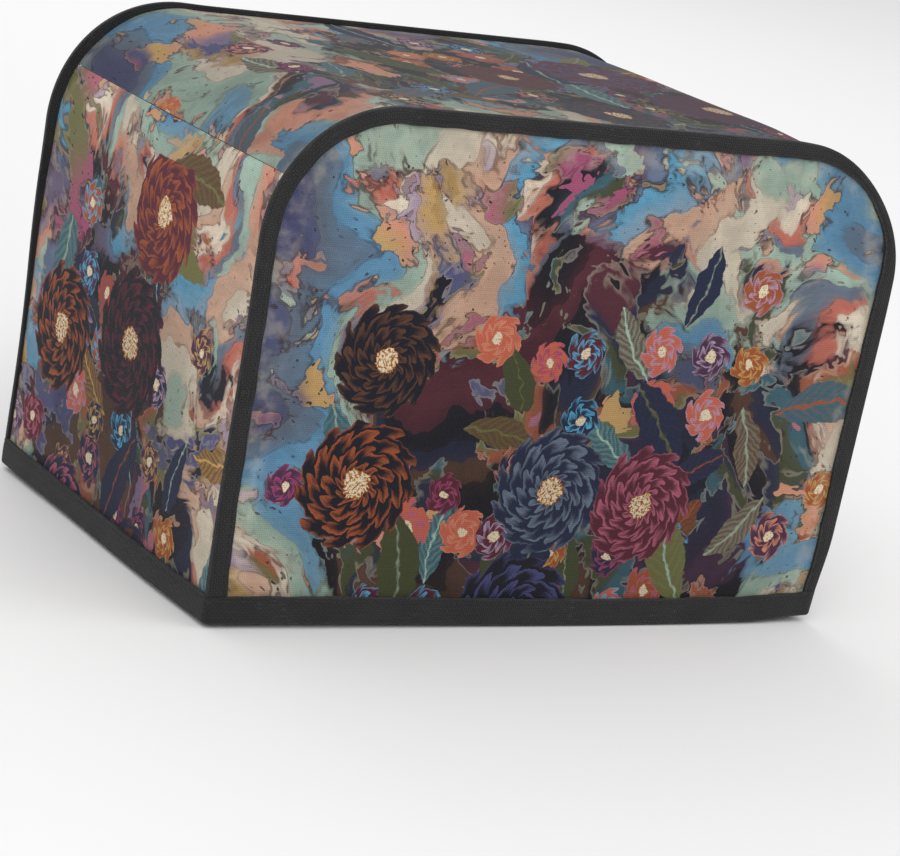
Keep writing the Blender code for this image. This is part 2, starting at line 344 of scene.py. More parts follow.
@dataclass(frozen=True)
class Crease:
    """A soft trough or ridge of the cloth, between two places of a panel laid flat."""

    start: Flat
    end: Flat
    half_width: float
    height: float

    def lift(self, across: float, up: float) -> float:
        """How far the crease moves the cloth outward at a place of the flat panel."""
        run = (self.end[0] - self.start[0], self.end[1] - self.start[1])
        offset = (across - self.start[0], up - self.start[1])
        share = (offset[0] * run[0] + offset[1] * run[1]) / (run[0] ** 2 + run[1] ** 2)
        share = min(1.0, max(0.0, share))
        away = math.hypot(offset[0] - run[0] * share, offset[1] - run[1] * share)
        strength = 0.4 + 0.6 * math.sin(math.pi * share)
        return self.height * smooth(1 - away / self.half_width) * strength


class SheetMesh:
    """Gathers points and faces of one piece, and makes the object."""

    def __init__(self) -> None:
        """Start with nothing."""
        self.points: list[Point] = []
        self.flats: list[Point] = []
        self.edges: list[float] = []
        self.faces: list[tuple[int, ...]] = []
        self.slots: list[int] = []

    def add_point(self, point: Point, flat: Point, edge: float = 0.0) -> int:
        """Add a point.

        Args:
            point: Where it lies in the frame of the solids.
            flat: Where it lies on the flat cloth.
            edge: From 0 inside the piece to 1 at its edge.

        Returns:
            The point's number.
        """
        self.points.append(point)
        self.flats.append(flat)
        self.edges.append(edge)
        return len(self.points) - 1

    def add_face(self, corners: tuple[int, ...], slot: int = 0) -> None:
        """Add a face with its material slot."""
        self.faces.append(corners)
        self.slots.append(slot)

    def add_strip(self, first: list[int], second: list[int], slot: int, is_ring: bool) -> None:
        """Join two rows of points with faces.

        Args:
            first: One row.
            second: The row next to it, of the same length.
            slot: The faces' material slot.
            is_ring: Whether each row's end joins its start.
        """
        count = len(first)
        for k in range(count if is_ring else count - 1):
            after = (k + 1) % count
            self.add_face((first[k], first[after], second[after], second[k]), slot)

    def add_cloth(self, rows: list[tuple[list[int], list[int]]]) -> None:
        """Close a thin sheet, with the first slot outside and the second inside and on its edges.

        Args:
            rows: Pairs of an outer and an inner row, side by side.
        """
        for (outer, inner), (next_outer, next_inner) in zip(rows, rows[1:]):
            self.add_strip(outer, next_outer, 0, False)
            self.add_strip(next_inner, inner, 1, False)
            self.add_face((outer[0], next_outer[0], next_inner[0], inner[0]), 1)
            self.add_face((next_outer[-1], outer[-1], inner[-1], next_inner[-1]), 1)
        self.add_strip(rows[0][1], rows[0][0], 1, False)
        self.add_strip(rows[-1][0], rows[-1][1], 1, False)

    def add_tube(self, rings: list[list[int]]) -> None:
        """Join rings one after the other and close both ends."""
        for first, second in zip(rings, rings[1:]):
            self.add_strip(first, second, 0, True)
        self.add_face(tuple(rings[0][::-1]))
        self.add_face(tuple(rings[-1]))

    def make(self, name: str) -> Piece:
        """Make the object, with its faces pointing out and its flat places stored.

        Args:
            name: The piece's name.

        Returns:
            The linked object.
        """
        mesh = bpy.data.meshes.new(name)
        mesh.from_pydata(self.points, [], self.faces)
        mesh.polygons.foreach_set("material_index", self.slots)
        flat = mesh.attributes.new(FLAT_CLOTH, "FLOAT_VECTOR", "POINT")
        flat.data.foreach_set("vector", [part for place in self.flats for part in place])
        edge = mesh.attributes.new(EDGE_NEAR, "FLOAT", "POINT")
        edge.data.foreach_set("value", self.edges)
        if self.volume() < 0:
            mesh.flip_normals()
        mesh.shade_smooth()
        mesh.set_sharp_from_angle(angle=SHARP_ANGLE)
        piece = bpy.data.objects.new(name, mesh)
        bpy.context.scene.collection.objects.link(piece)
        return piece

    def volume(self) -> float:
        """Signed volume inside the faces, negative where they point inward."""
        total = 0.0
        for corners in self.faces:
            first = Vector(self.points[corners[0]])
            for one, two in zip(corners[1:], corners[2:]):
                total += first.dot(Vector(self.points[one]).cross(Vector(self.points[two])))
        return total / 6


def place_piece(piece: Piece, slot: str, *nodes: str) -> None:
    """Let a piece ride on the cover and stand for its solids.

    Args:
        piece: The piece, already in place.
        slot: A material slot's name; not used.
        nodes: The solids that it stands for.
    """
    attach(piece, "root")
    if nodes:
        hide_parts(*nodes)


class NodeBuilder:
    """Adds shader nodes to one tree and joins them."""

    def __init__(self, tree: Tree) -> None:
        """Keep the tree that the nodes go into."""
        self.tree = tree

    def add(self, kind: str, **settings: object) -> bpy.types.Node:
        """Add a node and set its properties."""
        node = self.tree.nodes.new(kind)
        for key, value in settings.items():
            setattr(node, key, value)
        return node

    def feed(self, socket: Socket, value: object) -> None:
        """Link a socket to another, or give it a plain value."""
        if isinstance(value, Socket):
            self.tree.links.new(value, socket)
        elif value is not None:
            socket.default_value = value

    def math(self, operation: str, *values: object) -> Socket:
        """Add a Math node, with sockets or numbers for its inputs in order."""
        node = self.add("ShaderNodeMath", operation=operation)
        for socket, value in zip(node.inputs, values):
            self.feed(socket, value)
        return node.outputs[0]

    def vector(self, operation: str, *values: object, scale: object = None) -> Socket:
        """Add a Vector Math node and return its vector, or its value where it makes one."""
        node = self.add("ShaderNodeVectorMath", operation=operation)
        for socket, value in zip(node.inputs, values):
            self.feed(socket, value)
        if scale is not None:
            self.feed(node.inputs["Scale"], scale)
        is_value = operation in ("LENGTH", "DISTANCE", "DOT_PRODUCT")
        return node.outputs["Value" if is_value else "Vector"]

    def split(self, vector: Socket) -> tuple[Socket, ...]:
        """The X, Y and Z of a vector."""
        node = self.add("ShaderNodeSeparateXYZ")
        self.feed(node.inputs[0], vector)
        return tuple(node.outputs)

    def join(self, x: object, y: object, z: object = 0.0) -> Socket:
        """A vector of three values."""
        node = self.add("ShaderNodeCombineXYZ")
        for socket, value in zip(node.inputs, (x, y, z)):
            self.feed(socket, value)
        return node.outputs[0]

    def noise(self, vector: object, scale: object, detail: float = 2.0, roughness: float = 0.5,
              is_colour: bool = False) -> Socket:
        """Add a flat Noise Texture.

        Args:
            vector: Where it is read.
            scale: Waves per metre.
            detail: Finer layers.
            roughness: Strength of the finer layers.
            is_colour: Whether its colour is wanted instead of its value.

        Returns:
            The value's or the colour's socket.
        """
        node = self.add("ShaderNodeTexNoise", noise_dimensions="2D")
        self.feed(node.inputs["Vector"], vector)
        self.feed(node.inputs["Scale"], scale)
        self.feed(node.inputs["Detail"], detail)
        self.feed(node.inputs["Roughness"], roughness)
        return node.outputs["Color" if is_colour else "Fac"]

    def warp(self, vector: object, scale: float, reach: float, detail: float = 1.0) -> Socket:
        """Move a place about at random, by up to about half of reach."""
        noise = self.noise(vector, scale, detail, is_colour=True)
        away = self.vector("SUBTRACT", noise, (0.5, 0.5, 0.5))
        return self.vector("ADD", vector, self.vector("SCALE", away, scale=reach))

    def span(self, value: object, low: float, high: float, to_low: float = 0.0, to_high: float = 1.0,
             is_smooth: bool = True) -> Socket:
        """Map a value from one range to another, held at the ends."""
        kind = "SMOOTHSTEP" if is_smooth else "LINEAR"
        node = self.add("ShaderNodeMapRange", interpolation_type=kind, clamp=True)
        for socket, part in zip(node.inputs, (value, low, high, to_low, to_high)):
            self.feed(socket, part)
        return node.outputs[0]

    def ramp(self, value: object, colours: list[Colour], is_stepped: bool = True,
             places: list[float] | None = None) -> Socket:
        """Read a row of colours with a value from 0 to 1.

        Args:
            value: Where the row is read.
            colours: The colours from 0 to 1.
            is_stepped: Whether one colour ends sharply where the next begins.
            places: Where each colour begins, or None for equal steps.

        Returns:
            The colour's socket.
        """
        node = self.add("ShaderNodeValToRGB")
        self.feed(node.inputs[0], value)
        row = node.color_ramp
        row.interpolation = "CONSTANT" if is_stepped else "EASE"
        steps = len(colours) if is_stepped else len(colours) - 1
        starts = places or [k / steps for k in range(len(colours))]
        while len(row.elements) < len(colours):
            row.elements.new(1.0)
        for element, start, colour in zip(row.elements, starts, colours):
            element.position = start
            element.color = (*colour, 1)
        return node.outputs[0]

    def mix(self, share: object, first: object, second: object, blend: str = "MIX") -> Socket:
        """Mix two colours."""
        node = self.add("ShaderNodeMix", data_type="RGBA", blend_type=blend)
        self.feed(node.inputs[0], share)
        for socket, value in zip((node.inputs[6], node.inputs[7]), (first, second)):
            self.feed(socket, (*value, 1) if isinstance(value, tuple) else value)
        return node.outputs[2]

    def tone(self, colour: object, share: Socket) -> Socket:
        """Make a colour darker or lighter by a value."""
        return self.mix(1.0, colour, self.join(share, share, share), "MULTIPLY")

    def group(self, tree: Tree, **values: object) -> dict[str, Socket]:
        """Place a node group.

        Args:
            tree: The group.
            values: Its inputs by name, with _ for a space.

        Returns:
            Its outputs by name.
        """
        node = self.add("ShaderNodeGroup", node_tree=tree)
        for key, value in values.items():
            self.feed(node.inputs[key.replace("_", " ")], value)
        return {socket.name: socket for socket in node.outputs}

    def flat_place(self) -> Socket:
        """Where the surface lies on the flat cloth."""
        node = self.add("ShaderNodeAttribute", attribute_name=FLAT_CLOTH)
        return node.outputs["Vector"]

    def edge_near(self) -> Socket:
        """From 0 inside a piece to 1 at its edge."""
        node = self.add("ShaderNodeAttribute", attribute_name=EDGE_NEAR)
        return node.outputs["Fac"]


class GroupBuilder(NodeBuilder):
    """A node group with named inputs and outputs, built once."""

    def __init__(self, name: str, inputs: dict[str, object], outputs: dict[str, str]) -> None:
        """Make the group.

        Args:
            name: The group's name.
            inputs: Its inputs, each a start value: a number, or None for a vector.
            outputs: Its outputs, each a socket type: "Float", "Color" or "Vector".
        """
        super().__init__(bpy.data.node_groups.new(name, "ShaderNodeTree"))
        for key, value in inputs.items():
            kind = "NodeSocketVector" if value is None else "NodeSocketFloat"
            socket = self.tree.interface.new_socket(key, in_out="INPUT", socket_type=kind)
            if value is not None:
                socket.default_value = value
        for key, kind in outputs.items():
            self.tree.interface.new_socket(key, in_out="OUTPUT", socket_type=f"NodeSocket{kind}")
        self.inputs = self.add("NodeGroupInput").outputs
        self.results = self.add("NodeGroupOutput").inputs

    def scatter(self) -> tuple[Socket, Socket]:
        """Centre and random tint of the cell round a place, from Place, Spacing and Scatter."""
        cells = self.add("ShaderNodeTexVoronoi", voronoi_dimensions="2D", feature="F1")
        self.feed(cells.inputs["Vector"], self.inputs["Place"])
        self.feed(cells.inputs["Scale"], self.math("DIVIDE", 1.0, self.inputs["Spacing"]))
        self.feed(cells.inputs["Randomness"], self.inputs["Scatter"])
        return cells.outputs["Position"], cells.outputs["Color"]

    def give(self, **values: object) -> Tree:
        """Feed the group's outputs and return the finished group."""
        for key, value in values.items():
            self.feed(self.results[key.replace("_", " ")], value)
        return self.tree


# Colours of the print, as the eye sees them on the cloth
SKY = paint(92, 152, 190)
BRIGHT_SKY = paint(84, 168, 206)
SLATE = paint(104, 116, 134)
MINT = paint(164, 190, 172)
SAGE = paint(146, 158, 138)
CREAM = paint(224, 210, 186)
PEACH = paint(218, 172, 142)
SALMON = paint(204, 132, 104)
EMBER = paint(190, 96, 74)
ROSE = paint(172, 92, 112)
LILAC = paint(170, 144, 168)
VIOLET_GREY = paint(112, 100, 130)
INDIGO = paint(72, 74, 120)
GOLD = paint(192, 152, 84)
OLIVE = paint(106, 106, 62)
MOSS = paint(66, 70, 42)
NAVY = paint(32, 38, 64)
INK = paint(22, 21, 32)
BURGUNDY = paint(86, 32, 46)
PLUM = paint(72, 42, 70)
UMBER = paint(88, 58, 42)
RUST = paint(152, 78, 44)
MAGENTA = paint(154, 66, 104)
TEAL = paint(52, 92, 104)
OUTLINE = paint(62, 45, 44)
STAIN = paint(160, 120, 112)
# Colours that follow each other in the clouds of paint
LIGHT_POOLS = [INDIGO, SLATE, SKY, MINT, CREAM, PEACH, BRIGHT_SKY, VIOLET_GREY]
LIGHT_PATCHES = [VIOLET_GREY, SALMON, MINT, SLATE, EMBER, CREAM, LILAC, GOLD]
BRIGHT_PATCHES = [EMBER, INDIGO, GOLD, SALMON, VIOLET_GREY, ROSE, OLIVE, MAGENTA]
DUSKY_POOLS = [INK, NAVY, PLUM, INK, UMBER, NAVY, INK, BURGUNDY, INK]
DUSKY_PATCHES = [BURGUNDY, NAVY, MOSS, TEAL, INK, RUST, OLIVE, INDIGO]
# Distance between threads, and the strength and height of their relief
CLOTH_PITCH = 0.00085
TAPE_PITCH = 0.00105
CLOTH_RELIEF = (0.45, 0.00022)
TAPE_RELIEF = (0.75, 0.00032)


class Effects:
    """The shader node groups that the finishes share."""

    def __init__(self) -> None:
        """Build every group once."""
        self.weave = self.build_weave()
        self.wash = self.build_wash()
        self.blossoms = self.build_blossoms()
        self.leaves = self.build_leaves()
        self.dust = self.build_dust()

    @staticmethod
    def build_weave() -> Tree:
        """Plain weave: threads that pass over and under each other at right angles.

        Returns:
            The group, with the threads' height and their painted shade, which follows that height: darker in
            the hollows between threads, lighter on their crests.
        """
        group = GroupBuilder(
            "plain weave",
            {"Place": None, "Pitch": 0.0008, "Uneven": 0.35},
            {"Height": "Float", "Shade": "Float"},
        )
        place = group.inputs["Place"]
        bent = group.warp(place, 45.0, 0.0006, 0.0)
        pitch = group.inputs["Pitch"]
        threads = group.vector("DIVIDE", bent, group.join(pitch, pitch, 1.0))
        x, y, _ = group.split(threads)
        warp_thread = group.math("ABSOLUTE", group.math("SINE", group.math("MULTIPLY", x, math.pi)))
        weft_thread = group.math("ABSOLUTE", group.math("SINE", group.math("MULTIPLY", y, math.pi)))
        parity = group.math("ADD", group.math("FLOOR", x), group.math("FLOOR", y))
        is_over = group.math("PINGPONG", parity, 1.0)
        over = group.math("MULTIPLY", warp_thread, group.math("POWER", weft_thread, 0.35))
        under = group.math("MULTIPLY", weft_thread, group.math("POWER", warp_thread, 0.35))
        crown = group.math("MAXIMUM", over, under)
        lift = group.math("MULTIPLY", group.math("SUBTRACT", is_over, 0.5), 0.25)
        thick = group.noise(group.vector("MULTIPLY", place, (60.0, 900.0, 1.0)), 1.0, 0.0)
        uneven = group.math("MULTIPLY", group.math("SUBTRACT", thick, 0.5), group.inputs["Uneven"])
        height = group.math("ADD", group.math("ADD", crown, lift), uneven)
        # Painted shade of the weave: darker where the threads lie low, lighter on their crests.
        shade = group.span(height, 0.1, 1.2, is_smooth=False)
        return group.give(Height=height, Shade=shade)

    @staticmethod
    def add_patch(group: NodeBuilder, colour: Socket, over: Socket,
                  field_value: Socket, level: float,
                  wet: Socket) -> Socket:
        """Lay patches of paint over a colour, with burnt outlines of changing strength.

        Args:
            group: The group's node builder.
            colour: The colour under them.
            over: The patches' own colour.
            field_value: The field whose high places are the patches.
            level: The field's value at their edge.
            wet: Strength of the outline, from 0 to 1.

        Returns:
            The colour with the patches.
        """
        above = group.math("SUBTRACT", field_value, level)
        mask = group.span(above, -0.006, 0.006)
        mixed = group.mix(mask, colour, over)
        rim = group.span(group.math("ABSOLUTE", group.math("ADD", above, 0.005)), 0.0, 0.016, 1.0, 0.0)
        glow = group.span(above, 0.0, 0.050, 0.25, 0.0)
        lit = group.mix(group.math("MULTIPLY", glow, mask), mixed, CREAM)
        beside = group.math("ABSOLUTE", group.math("ADD", above, 0.010))
        halo = group.math("MULTIPLY", group.span(beside, 0.0, 0.050, 0.55, 0.0), wet)
        shaded = group.mix(halo, lit, group.mix(0.7, lit, STAIN, "MULTIPLY"))
        return group.mix(group.math("MULTIPLY", rim, wet), shaded, group.mix(0.80, lit, OUTLINE))

    @staticmethod
    def add_steps(group: NodeBuilder, value: Socket, colours: list[Colour],
                  wet: Socket) -> Socket:
        """Pools of colour that half run into each other, each ending in a darker line.

        Args:
            group: The group's node builder.
            value: The field that the pools follow.
            colours: The colours from 0 to 1.
            wet: Strength of the line, from 0 to 1.

        Returns:
            The colour.
        """
        pools = group.mix(0.40, group.ramp(value, colours), group.ramp(value, colours, False))
        inside = group.math("FRACT", group.math("MULTIPLY", value, float(len(colours))))
        from_line = group.math("ABSOLUTE", group.math("SUBTRACT", inside, 0.04))
        line = group.span(from_line, 0.0, 0.09, 1.0, 0.0)
        return group.mix(group.math("MULTIPLY", line, wet), pools, group.mix(0.65, pools, OUTLINE))

    @classmethod
    def build_wash(cls) -> Tree:
        """Clouds of paint: ragged pools laid over each other, light or dusky.

        Returns:
            The group, with the colour.
        """
        group = GroupBuilder("cloud wash", {"Place": None, "Dusk": 0.0}, {"Color": "Color"})
        place = group.inputs["Place"]
        drift = group.warp(place, 14.0, 0.040, 1.0)
        ragged = group.warp(drift, 90.0, 0.0100, 2.0)
        hue = group.span(group.noise(ragged, 8.0, 2.0, 0.40), 0.27, 0.73, is_smooth=False)
        elsewhere = group.vector("ADD", ragged, (5.3, 2.1, 0.0))
        tone = group.span(group.noise(elsewhere, 13.0, 2.0, 0.40), 0.27, 0.73, is_smooth=False)
        coast = group.noise(ragged, 16.0, 5.0, 0.60)
        island = group.noise(group.vector("ADD", ragged, (3.1, 7.7, 0.0)), 27.0, 4.0, 0.62)
        wet = group.span(island, 0.40, 0.56, 0.15, 0.95)

        base = cls.add_steps(group, hue, LIGHT_POOLS, wet)
        second = cls.add_steps(group, tone, LIGHT_PATCHES, wet)
        third = group.ramp(hue, BRIGHT_PATCHES, False)
        colour = cls.add_patch(group, base, second, coast, 0.515, wet)
        colour = cls.add_patch(group, colour, third, island, 0.590, wet)

        faint = group.math("MULTIPLY", wet, 0.3)
        dusk_base = cls.add_steps(group, hue, DUSKY_POOLS, faint)
        dusk_second = cls.add_steps(group, tone, DUSKY_PATCHES, faint)
        dark = cls.add_patch(group, dusk_base, dusk_second, island, 0.515, faint)
        dark = group.mix(group.span(island, 0.650, 0.656), dark, third)
        dusk_edge = group.math("MULTIPLY_ADD", group.math("SUBTRACT", coast, 0.5), 1.2, group.inputs["Dusk"])
        dusk_edge = group.math("MULTIPLY_ADD", group.math("SUBTRACT", island, 0.5), 0.6, dusk_edge)
        colour = group.mix(group.span(dusk_edge, 0.49, 0.52), colour, dark)
        near_dusk = group.span(group.math("SUBTRACT", 0.51, dusk_edge), 0.0, 0.09, 1.0, 0.0)
        colour = group.mix(group.math("MULTIPLY", near_dusk, 0.55), colour, dark)

        body = group.span(group.math("ADD", coast, island), 0.78, 1.22, 0.68, 1.10)
        flecks = group.noise(drift, 330.0, 1.0)
        colour = group.mix(group.math("MULTIPLY", group.span(flecks, 0.735, 0.75), wet), colour, OUTLINE)
        shaded = group.tone(colour, body)
        muted = group.add("ShaderNodeHueSaturation")
        muted.inputs["Saturation"].default_value = 0.92
        muted.inputs["Value"].default_value = 0.90
        group.feed(muted.inputs["Color"], shaded)
        return group.give(Color=muted.outputs[0])

    @staticmethod
    def build_blossoms() -> Tree:
        """Scattered round blossoms with rings of scalloped petals.

        Returns:
            The group, with a mask, the petals' shade, the heart, a random tint and the centre.
        """
        group = GroupBuilder(
            "scattered blossoms",
            {"Place": None, "Spacing": 0.07, "Reach": 0.36, "Petals": 9.0, "Rings": 3.4, "Scatter": 0.55},
            {"Mask": "Float", "Shade": "Float", "Heart": "Float", "Tint": "Color", "Centre": "Vector"},
        )
        take = group.inputs
        centre, tint = group.scatter()
        away = group.vector("SUBTRACT", take["Place"], centre)
        x, y, _ = group.split(away)
        red, green, _ = group.split(tint)
        size = group.math("MULTIPLY", group.math("MULTIPLY", take["Spacing"], take["Reach"]),
                          group.span(green, 0.0, 1.0, 0.78, 1.05))
        radius = group.math("DIVIDE", group.math("SQRT", group.math(
            "ADD", group.math("MULTIPLY", x, x), group.math("MULTIPLY", y, y))), size)
        angle = group.math("MULTIPLY_ADD", red, 2 * math.pi, group.math("ARCTAN2", y, x))
        swirl = group.math("MULTIPLY_ADD", radius, 2.3, angle)
        petal = group.math("ABSOLUTE", group.math(
            "SINE", group.math("MULTIPLY", swirl, group.math("MULTIPLY", take["Petals"], 0.5))))
        rings = group.math("MULTIPLY_ADD", petal, -0.62, group.math("MULTIPLY", radius, take["Rings"]))
        rings = group.math("ADD", rings, 1.0)
        rim = group.math("SUBTRACT", take["Rings"], group.math("SUBTRACT", rings, 0.38))
        mask = group.span(rim, 0.0, 0.05)
        tip = group.math("FRACT", rings)
        along_petal = group.join(group.math("MULTIPLY", swirl, 7.0), group.math("MULTIPLY", radius, 2.0))
        streak = group.noise(along_petal, 1.0, 1.0)
        shade = group.math("MULTIPLY", group.span(tip, 0.0, 1.0), group.span(streak, 0.3, 0.7, 0.65, 1.15))
        heart = group.span(group.math("MULTIPLY_ADD", streak, 0.10, radius), 0.24, 0.29, 1.0, 0.0)
        return group.give(Mask=mask, Shade=shade, Heart=heart, Tint=tint, Centre=centre)

    @staticmethod
    def build_leaves() -> Tree:
        """Scattered pointed leaves, each turned its own way, with a midrib.

        Returns:
            The group, with a mask, the leaf's shade, a random tint and the centre.
        """
        group = GroupBuilder(
            "scattered leaves",
            {"Place": None, "Spacing": 0.035, "Length": 0.47, "Breadth": 0.17, "Scatter": 0.55},
            {"Mask": "Float", "Shade": "Float", "Tint": "Color", "Centre": "Vector"},
        )
        take = group.inputs
        centre, tint = group.scatter()
        red, green, _ = group.split(tint)
        turned = group.add("ShaderNodeVectorRotate", rotation_type="Z_AXIS")
        group.feed(turned.inputs["Vector"], group.vector("SUBTRACT", take["Place"], centre))
        group.feed(turned.inputs["Angle"], group.math("MULTIPLY", red, 2 * math.pi))
        along, across, _ = group.split(group.vector(
            "SCALE", turned.outputs[0], scale=group.math("DIVIDE", 1.0, take["Spacing"])))
        along = group.math("DIVIDE", along, take["Length"])
        bow = group.math("MULTIPLY_ADD", group.math("MULTIPLY", along, along), 0.06, across)
        taper = group.math("SUBTRACT", 1.0, group.math("MULTIPLY", along, along))
        half = group.math("MULTIPLY", taper, take["Breadth"])
        inner = group.math("SUBTRACT", half, group.math("ABSOLUTE", bow))
        mask = group.span(inner, 0.0, 0.012)
        rib = group.span(group.math("ABSOLUTE", bow), 0.0, 0.022, 1.0, 0.0)
        veins = group.math("PINGPONG", group.math("MULTIPLY_ADD", along, 5.0, group.math(
            "MULTIPLY", group.math("ABSOLUTE", bow), -14.0)), 0.5)
        shade = group.math("ADD", group.math("MULTIPLY", veins, 0.5), group.math("MULTIPLY", rib, 0.6))
        shade = group.math("MULTIPLY_ADD", group.math("SUBTRACT", green, 0.5), 0.5, shade)
        return group.give(Mask=mask, Shade=shade, Tint=tint, Centre=centre)

    @staticmethod
    def build_dust() -> Tree:
        """Faint lint and rubbed places.

        Returns:
            The group, with a mask of the lint and one of the rubbed places.
        """
        group = GroupBuilder(
            "lint and rubbing",
            {"Place": None, "Edge": 0.0},
            {"Lint": "Float", "Rubbed": "Float"},
        )
        place = group.inputs["Place"]
        hairs = group.noise(group.vector("MULTIPLY", place, (260.0, 1500.0, 1.0)), 1.0, 0.0)
        patches = group.noise(place, 38.0, 1.0)
        lint = group.math("MULTIPLY", group.span(hairs, 0.70, 0.76), group.span(patches, 0.5, 0.65))
        worn = group.span(group.noise(place, 120.0, 3.0), 0.35, 0.7)
        rubbed = group.math("MULTIPLY", group.inputs["Edge"], worn)
        return group.give(Lint=lint, Rubbed=rubbed)


class Surface(NodeBuilder):
    """The nodes of a new material, with its shader."""

    def __init__(self, name: str) -> None:
        """Make the material."""
        self.material = bpy.data.materials.new(name)
        self.material.use_nodes = True
        super().__init__(self.material.node_tree)
        self.shader = self.tree.nodes["Principled BSDF"]

    def give(self, **values: object) -> Material:
        """Feed the shader's inputs by name, with _ for a space, and return the material."""
        for key, value in values.items():
            self.feed(self.shader.inputs[key.replace("_", " ")], value)
        return self.material

    def raised(self, height: Socket, strength: float, distance: float) -> Socket:
        """The normal of a surface whose threads stand up by their height."""
        bump = self.add("ShaderNodeBump")
        self.feed(bump.inputs["Height"], height)
        self.feed(bump.inputs["Strength"], strength)
        self.feed(bump.inputs["Distance"], distance)
        return bump.outputs[0]


@dataclass(frozen=True)
class DuskLayout:
    """Where a panel's print turns dusky: a dome round a centre, in metres of the flat panel."""

    centre: Flat
    half_sizes: Flat


@dataclass(frozen=True)
class PrintedCloth:
    """Matte canvas with a painterly print of clouds, blossoms and leaves."""

    name: str
    shift: Flat
    dusk: DuskLayout
    effects: Effects
    # Levels of the print at its clear part and at its dusky part. These are painted light and shade: each
    # panel has its own levels, with the top darker and the sides lighter than the front and back. From clear
    # to dusky the print also grows darker, so on the front, back and sides it is darker towards the bottom.
    clear_panel_light: float = 1.00
    dusk_tone_and_panel_shade: float = 0.74

    def dusk_at(self, nodes: NodeBuilder, place: Socket) -> Socket:
        """How dusky the print is at a place of the print.

        Args:
            nodes: The material's node builder.
            place: A place on the print, with the panel's shift.

        Returns:
            A value from 0 to 1.
        """
        centre = (self.shift[0] + self.dusk.centre[0], self.shift[1] + self.dusk.centre[1], 0.0)
        away = nodes.vector("SUBTRACT", place, centre)
        reach = nodes.vector("LENGTH", nodes.vector("DIVIDE", away, (*self.dusk.half_sizes, 1.0)))
        return nodes.span(reach, 0.0, 2.0, 1.0, 0.0, is_smooth=False)

    def present(self, nodes: NodeBuilder, motif: dict[str, Socket], limit: float,
                chance: float) -> Socket:
        """Mask of the motifs whose centre lies in the dusky part.

        Args:
            nodes: The material's node builder.
            motif: The motif group's outputs.
            limit: How dusky the centre's place has to be.
            chance: How much chance moves that limit.

        Returns:
            The mask.
        """
        _, _, luck = nodes.split(motif["Tint"])
        dusk = nodes.math("MULTIPLY_ADD", nodes.math("SUBTRACT", luck, 0.5), chance,
                          self.dusk_at(nodes, motif["Centre"]))
        return nodes.math("MULTIPLY", motif["Mask"], nodes.math("GREATER_THAN", dusk, limit))

    def add_leaves(self, nodes: NodeBuilder, colour: Socket, place: Socket,
                   spacing: float, limit: float) -> Socket:
        """Paint a layer of leaves over a colour."""
        leaf = nodes.group(self.effects.leaves, Place=place, Spacing=spacing)
        mask = self.present(nodes, leaf, limit, 0.5)
        red, green, _ = nodes.split(leaf["Tint"])
        deep = nodes.ramp(green, [MOSS, NAVY, OLIVE, TEAL, UMBER])
        pale = nodes.ramp(red, [OLIVE, SAGE, GOLD, MINT, RUST])
        leaf_colour = nodes.mix(nodes.span(leaf["Shade"], 0.05, 0.95), deep, pale)
        return nodes.mix(mask, colour, leaf_colour)

    def add_blossoms(self, nodes: NodeBuilder, colour: Socket, place: Socket,
                     spacing: float, limit: float, is_large: bool) -> Socket:
        """Paint a layer of blossoms over a colour.

        Args:
            nodes: The material's node builder.
            colour: The colour under them.
            place: A place on the print.
            spacing: Distance from one blossom to the next.
            limit: How dusky the place of a blossom's centre has to be.
            is_large: Whether they are the large dark ones or the small bright ones.

        Returns:
            The colour with the blossoms.
        """
        petals, rings = (11.0, 4.4) if is_large else (6.0, 2.4)
        reach = 0.46 if is_large else 0.42
        flower = nodes.group(self.effects.blossoms, Place=place, Spacing=spacing, Petals=petals,
                             Rings=rings, Reach=reach)
        mask = self.present(nodes, flower, limit, 0.25 if is_large else 0.6)
        red, green, _ = nodes.split(flower["Tint"])
        if is_large:
            deep = nodes.ramp(red, [INK, BURGUNDY, INK, NAVY, PLUM])
            tips = nodes.ramp(green, [UMBER, ROSE, SLATE, RUST, INDIGO, BURGUNDY])
            glow = [INK, RUST, GOLD, CREAM]
        else:
            deep = nodes.ramp(red, [BURGUNDY, RUST, NAVY, PLUM, EMBER])
            tips = nodes.ramp(green, [MAGENTA, GOLD, BRIGHT_SKY, LILAC, SALMON, ROSE])
            glow = [UMBER, GOLD, CREAM, CREAM]
        petal_colour = nodes.mix(nodes.span(flower["Shade"], 0.25, 1.05), deep, tips)
        dots = nodes.noise(place, 900.0 if is_large else 1400.0, 1.0)
        heart_light = nodes.math("MULTIPLY", flower["Heart"], nodes.span(dots, 0.3, 0.6, 0.35, 1.0))
        heart_colour = nodes.ramp(heart_light, glow, is_stepped=False)
        petal_colour = nodes.mix(nodes.span(flower["Heart"], 0.0, 0.35), petal_colour, heart_colour)
        return nodes.mix(mask, colour, petal_colour)

    def build(self) -> Material:
        """Make the material.

        Returns:
            The finished material.
        """
        nodes = Surface(self.name)
        flat = nodes.flat_place()
        place = nodes.vector("ADD", flat, (*self.shift, 0.0))

        dusk = self.dusk_at(nodes, place)
        colour = nodes.group(self.effects.wash, Place=place, Dusk=dusk)["Color"]
        bent = nodes.warp(place, 150.0, 0.0042, 2.0)
        colour = self.add_leaves(nodes, colour, bent, 0.040, 0.53)
        colour = self.add_blossoms(nodes, colour, bent, 0.027, 0.56, False)
        colour = self.add_leaves(nodes, colour, bent, 0.058, 0.57)
        colour = self.add_blossoms(nodes, colour, bent, 0.066, 0.58, True)

